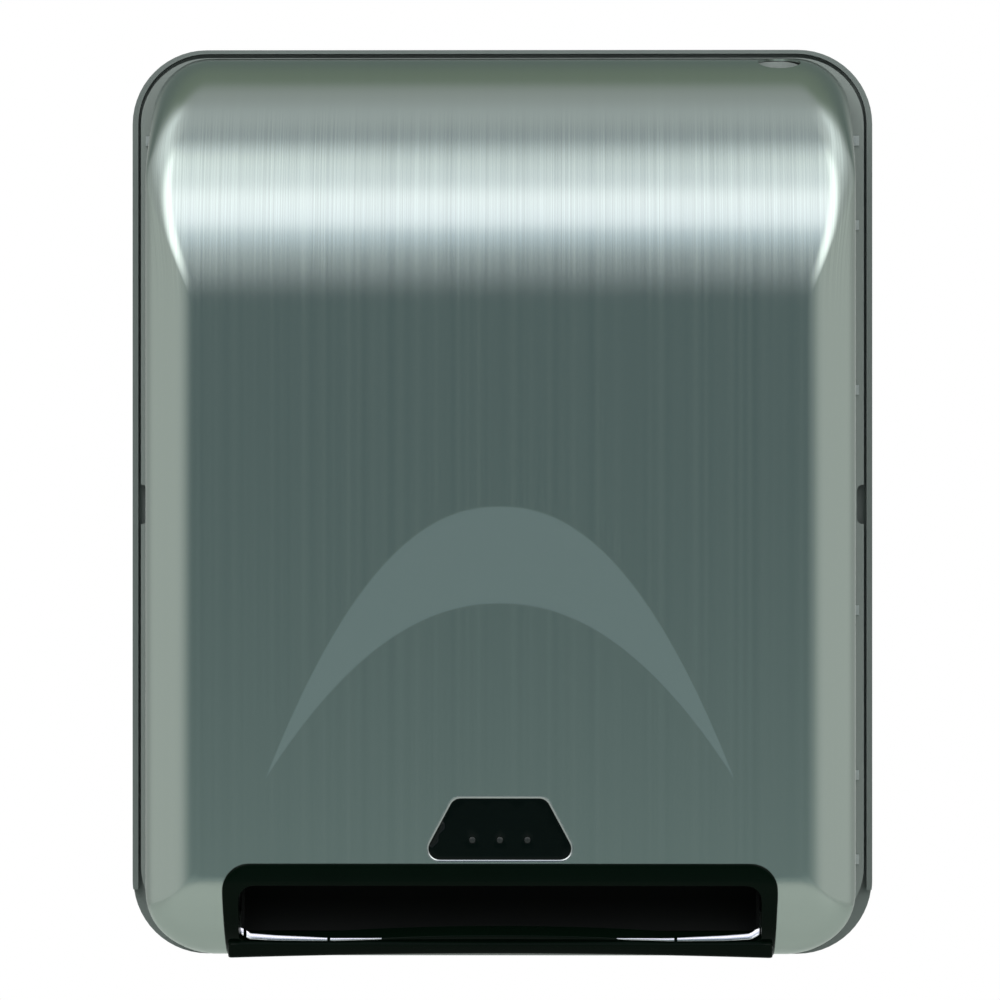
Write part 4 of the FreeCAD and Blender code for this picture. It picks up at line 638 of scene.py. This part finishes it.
def mouthEdge():
    # the mouth's top edge on the flat front, from its left foot up, over and down to the right:
    # two corner arcs cut off where the foot roll starts, and the straight top between them
    half, top, corner = door["mouthHalf"], door["mouthTop"], door["mouthCorner"]
    drop = top - corner
    angle = quarterTurn(11, math.asin((door["foot"] + door["footRoll"] - drop) / corner))
    right = together(half - corner + corner * np.cos(angle), drop + corner * np.sin(angle))
    topRun = together(np.linspace(corner - half, half - corner, 42)[1:-1], top)
    return np.concatenate([right * [-1, 1], topRun, right[::-1]])[1:-1]


skinPiece = makeSkin(doorSteelMaterial())
print("door skin made:", len(skinPiece.data.polygons), "faces")


# finishes of the frame's own nodes, by the name of their material

plastics = {
    "door_plastic": {"colour": (0.200, 0.222, 0.210), "roughness": 0.42, "texture": 0.5, "worn": 0.35},
    "tub_plastic": {"colour": (0.140, 0.160, 0.152), "roughness": 0.46, "texture": 0.6, "worn": 0.35},
    "bezel_black": {"colour": (0.0010, 0.0036, 0.0019), "roughness": 0.12, "texture": 1.6, "depth": 0.003,
                    "tone": 0.3, "dust": 0.0, "Specular IOR Level": 0.06},
    "window_black": {"colour": (0.0014, 0.0032, 0.0026), "roughness": 0.07, "texture": 3.0, "depth": 0.001,
                     "tone": 0.3, "dust": 0.0, "Specular IOR Level": 0.14},
    "lens_milk": {"colour": (0.010, 0.012, 0.012), "roughness": 0.3, "texture": 0.6, "depth": 0.004,
                  "dust": 0.0},
    "arm_plastic": {"colour": (0.60, 0.63, 0.64), "roughness": 0.44, "texture": 0.5, "worn": 0.2},
    "hub_plastic": {"colour": (0.075, 0.19, 0.36), "roughness": 0.36, "texture": 0.7, "worn": 0.3},
    "module_plastic": {"colour": (0.050, 0.053, 0.056), "roughness": 0.48, "texture": 0.45, "worn": 0.4},
    "roller_rubber": {"colour": (0.032, 0.032, 0.034), "roughness": 0.72, "texture": 0.3, "depth": 0.05,
                      "dust": 0.3},
    "gear_plastic": {"colour": (0.78, 0.77, 0.71), "roughness": 0.33, "texture": 0.9, "depth": 0.006},
    "component_black": {"colour": (0.028, 0.028, 0.030), "roughness": 0.45, "texture": 0.35},
    "box_plastic": {"colour": (0.33, 0.35, 0.36), "roughness": 0.46, "texture": 0.45, "worn": 0.3},
    "panel_plastic": {"colour": (0.075, 0.080, 0.085), "worn": 0.3},
    "button_blue": {"colour": (0.045, 0.20, 0.50), "roughness": 0.22, "texture": 1.5, "depth": 0.004},
    "slider_white": {"colour": (0.76, 0.76, 0.73), "roughness": 0.4, "texture": 0.6},
    "lead_jacket": {"colour": (0.036, 0.036, 0.040), "roughness": 0.55, "texture": 0.5, "depth": 0.01},
    "grommet_rubber": {"colour": (0.028, 0.028, 0.029), "roughness": 0.68, "depth": 0.03},
    # painted shade: the chute floor and throat guard, seen through the mouth, are made near black and dull,
    # darker than the module's charcoal plastic, for the shade in the mouth's recess
    "throatPaintedShade": {"colour": (0.0045, 0.0050, 0.0048), "roughness": 0.6, "texture": 0.5, "dust": 0.0,
                    "Specular IOR Level": 0.10},
}
metals = {
    "trim_silver": {"colour": (0.50, 0.52, 0.52), "roughness": 0.18, "tone": 0.03},
    "zinc_steel": {"colour": (0.62, 0.63, 0.62), "roughness": 0.34, "axis": 2, "width": 0.5, "length": 2.0},
    "spring_steel": {"colour": (0.55, 0.55, 0.54), "roughness": 0.28, "width": 0.3, "length": 1.5},
    "blade_steel": {"colour": (0.68, 0.69, 0.69), "roughness": 0.24, "axis": 2, "width": 0.15, "length": 6.0},
    "motor_can": {"colour": (0.58, 0.58, 0.56), "roughness": 0.32, "axis": 1, "width": 0.3, "length": 12.0},
    "contact_metal": {"colour": (0.72, 0.70, 0.64), "roughness": 0.25, "axis": 2, "width": 0.4, "length": 3.0},
    "lock_chrome": {"colour": (0.76, 0.77, 0.76), "roughness": 0.14, "axis": 2, "width": 0.8, "length": 4.0,
                    "tone": 0.04},
    "lipChrome": {"colour": (0.80, 0.79, 0.82), "roughness": 0.16, "width": 0.3, "length": 30.0, "tone": 0.03,
                  "depth": 0.001},
}


board = {"colour": (0.020, 0.125, 0.052), "trackColour": (0.055, 0.26, 0.095), "padColour": (0.62, 0.61, 0.55),
         "roughness": 0.24, "trackScale": 240.0, "padScale": 310.0, "relief": 0.03}


def boardMaterial():
    # solder mask over copper tracks: thin lines from a stretched brick pattern, with round pads between
    material, tree, shader = newMaterial("circuitGreen", board["roughness"])
    part = splitAxes(tree, objectPlace(tree))
    flat = addNode(tree, "CombineXYZ", {0: part[0], 1: part[2]})[0]
    tracks = addNode(tree, "TexBrick", {"Vector": flat, "Scale": board["trackScale"], "Mortar Size": 0.035,
                                        "Mortar Smooth": 0.2, "Brick Width": 1.7, "Row Height": 0.42},
                     offset=0.37)["Fac"]
    dots = addNode(tree, "TexVoronoi", {"Vector": flat, "Scale": board["padScale"], "Randomness": 0.25})
    pads = fade(tree, dots["Distance"], 0.22, 0.17)
    base = useGroup(tree, "mould", {"Colour": (*board["colour"], 1), "Tone": 0.12, "Texture Size": 0.8})
    shade = blendColour(tree, calc(tree, "MULTIPLY", tracks, 0.7), base["Colour"], (*board["trackColour"], 1))
    shade = blendColour(tree, pads, shade, (*board["padColour"], 1))
    height = calc(tree, "ADD", calc(tree, "MULTIPLY", tracks, 0.5), pads)
    plug(tree, shader, {"Base Color": shade, "Metallic": pads, "Normal": bump(tree, height, board["relief"])})
    return material


cell = {"colour": (0.045, 0.075, 0.12), "bandColour": (0.52, 0.54, 0.54), "roughness": 0.26, "firstEnd": -0.1278,
        "pitch": 0.0614, "band": (0.70, 0.93), "bandEdge": 0.005}


def cellMaterial():
    # a printed jacket with a lighter band near each cell's upper end, under a clear gloss
    material, tree, shader = newMaterial("cellJacket", cell["roughness"],
                                         **{"Coat Weight": 0.4, "Coat Roughness": 0.1})
    across = splitAxes(tree, objectPlace(tree))[0]
    along = calc(tree, "DIVIDE", calc(tree, "SUBTRACT", across, cell["firstEnd"]), cell["pitch"])
    along = calc(tree, "FRACT", along)
    (low, high), soft = cell["band"], cell["bandEdge"]
    band = calc(tree, "MULTIPLY", fade(tree, along, low, low + soft), fade(tree, along, high, high - soft))
    base = useGroup(tree, "mould", {"Colour": (*cell["colour"], 1), "Roughness": cell["roughness"],
                                    "Texture Size": 1.2})
    plug(tree, shader, {"Base Color": blendColour(tree, band, base["Colour"], (*cell["bandColour"], 1)),
                        "Roughness": base["Roughness"], "Normal": bump(tree, base["Height"], 0.004)})
    return material


finishes = {name: mouldedPlastic(name, **look) for name, look in plastics.items()}
finishes.update({name: brushedMetal(name, **look) for name, look in metals.items()})
finishes.update(circuit_green=boardMaterial(), cell_jacket=cellMaterial(),
                door_steel=skinPiece.data.materials[0])
for node in nodes.values():
    for slot in node.material_slots:
        slot.material = finishes[slot.material.name.split(".")[0]]
# the parts seen through the mouth take the near-black finish: painted shade in its recess
for name in ("chute_floor", "throat_guard"):
    nodes[name].material_slots[0].material = finishes["throatPaintedShade"]
print("finishes given to", len(nodes), "nodes")


# the black frame of the mouth; back and flangeBack are lengths down the sheet from the mouth's top

bezel = {"proud": 0.7, "thick": 5.9, "edge": 0.6, "gap": 0.15, "back": 71.8, "openHalf": 116.0,
         "openTop": -171.0, "openCorner": 7.0, "lipCorner": 4.0, "lipHalf": 80.0, "lipMiddle": -193.4,
         "lipBow": 0.000526, "lipEnds": -196.4, "flangeTop": -3.3, "flangeThick": 2.0, "flangeEdge": 0.2,
         "flangeMargin": 4.0, "flangeInner": -1.2, "flangeBack": 53.9, "tabs": ((70.0, -155.6), (128.4, -163.0)),
         "tabRadius": 4.6, "tabTurn": (-122.4, 183.2), "tabGap": (22.9, 38.0), "notchHalf": 38.6,
         "notchSlope": 0.8, "notchDown": 0.6}
rollStart = door["foot"] + door["footRoll"]
rollCentre = door["front"] + door["footRoll"]


def footSurface(points):
    # x, distance up the sheet from the mouth's top and height over it: the flat front, then the foot's
    # quarter roll (centre minus the radius times cosine and sine), then the underside
    across, up, height = points.T
    past = -up - (door["mouthTop"] - rollStart)
    turn = np.clip(past / door["footRoll"], 0, math.pi / 2)
    under = np.maximum(past - door["footRoll"] * math.pi / 2, 0)
    radius = door["footRoll"] + height
    return together(across, rollCentre - radius * np.cos(turn) + under,
                    rollStart - radius * np.sin(turn) - np.minimum(past, 0))


def downTo(z):
    # how far down the sheet a height lies, measured from the mouth's top
    z = np.asarray(z, float)
    rolled = np.arcsin(np.clip((rollStart - z) / door["footRoll"], 0, 1)) * door["footRoll"]
    return np.where(z > rollStart, door["mouthTop"] - z, door["mouthTop"] - rollStart + rolled)


def mouthLoop(grow, back, tabs=False):
    # the mouth's outline on the sheet, grown by a margin, anticlockwise from its right foot
    drop = door["mouthTop"] - door["mouthCorner"]
    down = np.linspace(back, downTo(drop), 24)
    height = footSurface(together(0.0, -down, 0.0))[:, 2]
    side = together(mouthHalfAt(height, grow), -down)
    centre = np.array([door["mouthHalf"] - door["mouthCorner"], -downTo(drop)])
    corner = door["mouthCorner"] + grow
    if not tabs:
        right = np.concatenate([side, arcPoints(centre, corner, 0, 90, 12)[1:]])
    else:
        (nearX, nearZ), (farX, farZ) = bezel["tabs"]
        reach, notch, (gapStart, gapEnd) = bezel["tabRadius"], bezel["notchHalf"], bezel["tabGap"]
        nearUp = -downTo(nearZ)
        low = math.degrees(math.asin((grow - nearUp) / reach))
        right = np.concatenate([side, arcPoints(centre, corner, 0, gapStart, 4)[1:],
                                arcPoints((farX, -downTo(farZ)), reach, *bezel["tabTurn"], 20)[1:-1],
                                arcPoints(centre, corner, gapEnd, 90, 7),
                                arcPoints((nearX, nearUp), reach, low, 180 - low, 14),
                                [(notch + bezel["notchSlope"], grow), (notch, -bezel["notchDown"])]])
    return dividedLoop(np.concatenate([right, right[::-1] * [-1, 1]]), 5.0)


def openingLoop():
    # the mouth's opening: straight top, round corners, and a lower lip that bows up in the middle
    half = bezel["openHalf"]
    across = np.linspace(-bezel["lipHalf"], bezel["lipHalf"], 41)
    lip = np.maximum(bezel["lipMiddle"] - bezel["lipBow"] * across ** 2, bezel["lipEnds"])
    low, high = -downTo(bezel["lipEnds"]), -downTo(bezel["openTop"])
    corners = [(-half, low)] + list(zip(across, -downTo(lip))) + [(half, low), (half, high), (-half, high)]
    radii = [bezel["lipCorner"]] + [0] * len(across) + [bezel["lipCorner"]] + [bezel["openCorner"]] * 2
    return roundedLoop(corners, radii, steps=8, longest=4.0)[::-1]


def makeBezel():
    # the frame itself, and the flange behind the sheet with its round tabs
    back = bezel["flangeBack"]
    front = plate([mouthLoop(-bezel["gap"], bezel["back"]), openingLoop()], footSurface, bezel["proud"],
                  bezel["thick"], bezel["edge"], spacing=2.6)
    inner = mouthLoop(bezel["flangeInner"], back - 4)[::-1]
    flange = plate([mouthLoop(bezel["flangeMargin"], back, tabs=True), inner], footSurface, bezel["flangeTop"],
                   bezel["flangeThick"], bezel["flangeEdge"], spacing=4.0, steps=2)
    for name, (points, faces) in (("mouthBezel", front), ("bezelFlange", flange)):
        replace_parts(makeMesh(name, points, faces, "door", "bezel_black"), "mouth_bezel")


chin = {"profile": ((-160.0, -204.1), (-187.0, -204.1), (-190.6, -198.0), (-189.6, -196.3), (-160.0, -197.5)),
        "radii": (0.5, 2.6, 0.8, 0.4, 0.3), "half": 121.3, "arch": 2.1, "archFrom": -199.5, "archDeep": 5.1,
        "endRound": 1.6}


def makeChin():
    # the profile (y, z) swept along x, its underside lifted by arch * (1 - (x / half)^2), its ends rounded
    profile = roundedLoop(chin["profile"], chin["radii"], steps=6, longest=3.0)
    turn = quarterTurn(4)
    ends = chin["half"] - chin["endRound"] * (1 - np.sin(turn))
    shrink = chin["endRound"] * (1 - np.cos(turn))
    run = np.linspace(-ends[0], ends[0], 60)[1:-1]
    x = np.concatenate([-ends[::-1], run, ends])
    inset = np.concatenate([shrink[::-1], run * 0, shrink])
    outward = profile - profile.mean(0)
    outward /= np.linalg.norm(outward, axis=1)[:, None]
    section = profile - outward * inset[:, None, None]
    low = np.clip((chin["archFrom"] - section[..., 1]) / chin["archDeep"], 0, 1)
    lift = chin["arch"] * (1 - (x / chin["half"]) ** 2)[:, None] * low
    points = together(x[:, None], section[..., 0], section[..., 1] + lift).reshape(-1, 3)
    faces = tubeFaces(len(x), len(profile))
    piece = makeMesh("bezelChin", points, faces, "door", "bezel_black")
    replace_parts(piece, "mouth_bezel")


lipTrim = {"runs": ((-115.6, -114.3), (-112.9, -77.0), (-75.6, -52.8), (45.0, 77.4), (78.8, 115.3)),
           "across": (44.0, 55.0, 75.0, 100.0, 111.5, 113.2, 116.0),
           "top": (-194.7, -194.7, -194.7, -193.5, -192.6, -191.0, -189.8),
           "foot": (-194.8, -195.6, -196.2, -196.0, -195.4, -194.6, -193.0),
           "step": 1.5, "lean": 0.34, "leanFrom": -196.2, "front": -190.7, "thick": 0.7, "bulge": 0.25}


def makeLipTrim():
    # a polished bead along the lip in separate runs; its height at each x is read between the listed places,
    # its cross-section is a half ellipse that leans back
    turn = np.linspace(-math.pi / 2, math.pi / 2, 9)
    bulge = np.concatenate([np.cos(turn) * lipTrim["bulge"], -np.cos(turn)[1:-1] * lipTrim["thick"]])
    points, faces, start = [], [], 0
    for low, high in lipTrim["runs"]:
        x = np.linspace(low, high, max(4, int((high - low) / lipTrim["step"])))
        top, foot = (np.interp(np.abs(x), lipTrim["across"], lipTrim[edge])[:, None] for edge in ("top", "foot"))
        z = (top + foot) / 2 + (top - foot) / 2 * np.sin(turn)
        z = np.concatenate([z, z[:, -2:0:-1]], 1)
        y = lipTrim["front"] + (z - lipTrim["leanFrom"]) * lipTrim["lean"] - bulge
        points.append(together(x[:, None], y, z).reshape(-1, 3))
        faces += tubeFaces(*z.shape, start)
        start += z.size
    piece = makeMesh("lipTrim", np.concatenate(points), faces, "door", "trim_silver", finishes["lipChrome"])
    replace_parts(piece, "mouth_bezel")


makeBezel()
makeChin()
makeLipTrim()
print("mouth frame made")


# the sensor window, its ring and the three lenses

window = {"top": 0.36, "deep": 3.3, "edge": 0.25, "gap": 0.08, "lampPitch": 12.2, "lampZ": -150.6,
          "lampRadius": 1.3, "lampGap": 0.04, "lampTop": 0.55, "lampFall": 0.2, "lampFoot": -2.9,
          "ring": ((0.0, -3.0), (0.0, 0.34), (0.03, 0.39), (0.08, 0.42), (0.98, 0.66), (1.05, 0.64),
                   (1.08, 0.55), (1.08, -3.0), (0.0, -3.0))}


def frontPlace(points):
    # from (across, up, height over the door's front) to space
    return together(points[:, 0], door["front"] - points[:, 2], points[:, 1])


def makeWindow():
    # the dark window with a hole for each lens
    radius, lamps = window["lampRadius"], [i * window["lampPitch"] for i in (-1, 0, 1)]
    holes = [arcPoints((x, window["lampZ"]), radius + window["lampGap"], 360, 0, 28)[:-1] for x in lamps]
    points, faces = plate([windowLoop(-window["gap"])] + holes, frontPlace, window["top"], window["deep"],
                          window["edge"], spacing=3.0, steps=4)
    lens = makeMesh("sensorWindow", points, faces, "door", "window_black")
    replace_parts(lens, "sensor_window")
    # the ring: the window's outline at each growth and height of its section, sloping in towards the lens
    rows = np.stack([together(*windowLoop(grow).T, height) for grow, height in window["ring"]])
    points, faces = frontPlace(rows.reshape(-1, 3)), gridFaces(*rows.shape[:2], loop=True)
    ring = makeMesh("windowRing", points, faces, "door", "trim_silver")
    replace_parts(ring, "window_ring")
    # each lens: a low dome, top - fall * (r / radius)^2, on a straight barrel
    share = np.array([0.0, 0.35, 0.65, 0.85, 0.97, 1.0, 1.0])[:, None]
    height = window["lampTop"] - window["lampFall"] * share ** 2
    height[-1] = window["lampFoot"]
    turn = np.linspace(0, 2 * math.pi, 29)[:-1]
    across, up = radius * share * np.cos(turn), radius * share * np.sin(turn)
    points, faces, start = [], [], 0
    for x in lamps:
        dome = together(x + across, window["lampZ"] + up, height)
        points.append(frontPlace(dome.reshape(-1, 3)))
        faces += tubeFaces(*dome.shape[:2], start, pole=True)
        start += dome.size // 3
    lenses = makeMesh("signalLenses", np.concatenate(points), faces, "door", "lens_milk")
    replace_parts(lenses, "indicator_lenses")


makeWindow()
print("window made")


# light by direction: (lift in degrees, red, green, blue) in front, beside and behind, then the two soft
# boxes; widths, turns and starts are degrees too

studio = {"front": ((-90, 0.49, 0.52, 0.48), (-18, 0.49, 0.52, 0.48), (-7, 0.28, 0.36, 0.35),
                    (0, 0.076, 0.124, 0.130), (7, 0.062, 0.100, 0.112), (13, 0.050, 0.080, 0.110),
                    (20, 0.06, 0.10, 0.145), (28, 0.37, 0.48, 0.60), (35, 1.24, 1.26, 1.43),
                    (44, 1.34, 1.34, 1.46), (53, 0.56, 0.61, 0.71), (66, 0.26, 0.31, 0.36),
                    (90, 0.43, 0.47, 0.47)),
          "side": ((-90, 0.36, 0.40, 0.37), (-20, 0.51, 0.55, 0.52), (-4, 0.56, 0.60, 0.57),
                   (32, 0.48, 0.51, 0.50), (44, 0.62, 0.66, 0.66), (54, 0.92, 0.97, 0.98),
                   (66, 1.22, 1.28, 1.30), (76, 0.70, 0.74, 0.75), (90, 0.50, 0.54, 0.55)),
          "back": ((-90, 0.50, 0.52, 0.47), (0, 0.36, 0.39, 0.37), (25, 0.14, 0.18, 0.165),
                   (58, 0.22, 0.27, 0.215), (72, 0.42, 0.45, 0.44), (90, 0.50, 0.54, 0.55)),
          "frontWidth": (8, 44), "backStart": (112, 140), "boxTurn": (5, 13, 20, 46), "boxLift": (2, 20, 60, 75),
          "boxColour": (2.35, 2.43, 2.40), "white": (9, 15), "strength": 2.0}


def studioWorld():
    # by direction: dark in front, a wide softbox overhead in front, two brighter ones beside it, grey walls;
    # the camera sees white, and so does what is glossy, close round the way behind the object
    world = bpy.data.worlds.new("studio")
    bpy.context.scene.world = world
    world.use_nodes = True
    tree = world.node_tree
    way = splitAxes(tree, addNode(tree, "TexCoord")["Generated"])
    lift = calc(tree, "DEGREES", calc(tree, "ARCSINE", way[2]))
    turn = calc(tree, "DEGREES", calc(tree, "ARCTAN2", calc(tree, "ABSOLUTE", way[0]),
                                     calc(tree, "MULTIPLY", way[1], -1.0)))
    share = calc(tree, "MULTIPLY_ADD", lift, 1 / 180, 0.5)  # as the ramps run
    front, side, back = (ramp(tree, share, studio[name]) for name in ("front", "side", "back"))
    around = blendColour(tree, fade(tree, turn, *studio["frontWidth"]), front, side)
    around = blendColour(tree, fade(tree, turn, *studio["backStart"]), around, back)
    boxes = 1.0
    for value, (a, b, c, d) in ((turn, studio["boxTurn"]), (lift, studio["boxLift"])):
        boxes = calc(tree, "MULTIPLY", boxes, fade(tree, value, a, b))
        boxes = calc(tree, "MULTIPLY", boxes, fade(tree, value, d, c))
    around = blendColour(tree, boxes, around, (*(c / studio["strength"] for c in studio["boxColour"]), 1))
    room = addNode(tree, "Background", {0: around, 1: studio["strength"]})
    path = addNode(tree, "LightPath")
    shiny = calc(tree, "MAXIMUM", path["Is Glossy Ray"], path["Is Transmission Ray"])
    narrow, wide = (math.cos(math.radians(angle)) for angle in studio["white"])
    behind = calc(tree, "MULTIPLY", shiny, fade(tree, way[1], wide, narrow))
    seen = calc(tree, "MAXIMUM", path["Is Camera Ray"], behind)
    white = addNode(tree, "Background", {0: (1, 1, 1, 1), 1: 1.0})
    mixed = addNode(tree, "MixShader", {0: seen, 1: room[0], 2: white[0]})
    plug(tree, tree.nodes["World Output"], {"Surface": mixed[0]})


lamps = {"keyLamp": {"place": (-1.2, -2.2, 1.9), "width": 1.4, "power": 26},
         "fillLamp": {"place": (1.8, -1.6, 0.6), "width": 1.6, "power": 12},
         "rearLamp": {"place": (-0.6, 2.4, 1.5), "width": 1.6, "power": 22}}
lampTarget = (0, -0.1, 0)


def addLamp(name, place, width, power):
    # a soft lamp that lights the plastics and isn't seen in the gloss
    lamp = bpy.data.lights.new(name, "AREA")
    lamp.shape = "RECTANGLE"
    lamp.size = lamp.size_y = width
    lamp.energy = power
    made = addObject(name, lamp)
    made.location = place
    made.rotation_euler = (Vector(lampTarget) - Vector(place)).to_track_quat("-Z", "Y").to_euler()
    made.visible_glossy = False


floor = {"radius": 3500.0, "level": -750.0, "colours": ((0.47, 0.50, 0.465, 1), (0.49, 0.52, 0.485, 1)),
         "glowColour": (1, 0.97, 1, 1), "glow": 0.62}


def makeFloor():
    # a wide pale disc well below the object, as its radius times the cosine and sine of the turn
    turn = np.linspace(0, 2 * math.pi, 97)[:-1]
    ring = together(np.cos(turn) * floor["radius"], np.sin(turn) * floor["radius"], floor["level"])
    mesh = bpy.data.meshes.new("floor")
    mesh.from_pydata((ring * mm).tolist(), [], [list(range(len(ring)))])
    disc = addObject("floor", mesh)
    material, tree, shader = newMaterial("paleFloor", 0.8)
    path = addNode(tree, "LightPath")
    clouds = noise(tree, objectPlace(tree), 3.0, 2.0)
    plug(tree, shader, {"Base Color": blendColour(tree, clouds, *floor["colours"]),
                        "Emission Color": floor["glowColour"],
                        "Emission Strength": calc(tree, "MULTIPLY", path["Is Camera Ray"], floor["glow"])})
    # from below the disc lets the view through
    clear = addNode(tree, "BsdfTransparent")
    under = calc(tree, "MULTIPLY", addNode(tree, "NewGeometry")["Backfacing"], path["Is Camera Ray"])
    either = addNode(tree, "MixShader", {0: under, 1: shader.outputs[0], 2: clear[0]})
    plug(tree, tree.nodes["Material Output"], {"Surface": either[0]})
    mesh.materials.append(material)


camera = {"place": (0.0343, -3.2032, 0.0), "turn": 0.6537, "lens": 243.8, "sensor": 36.0}


def makeCamera():
    view = bpy.data.cameras.new("camera")
    view.lens = camera["lens"]
    view.sensor_width = camera["sensor"]
    made = addObject("camera", view)
    made.location = camera["place"]
    made.rotation_euler = (math.pi / 2, 0, math.radians(camera["turn"]))
    bpy.context.scene.camera = made


studioWorld()
for name, lamp in lamps.items():
    addLamp(name, **lamp)
makeFloor()
makeCamera()
bpy.context.scene.view_settings.view_transform = "Standard"
print("light, floor and camera set")
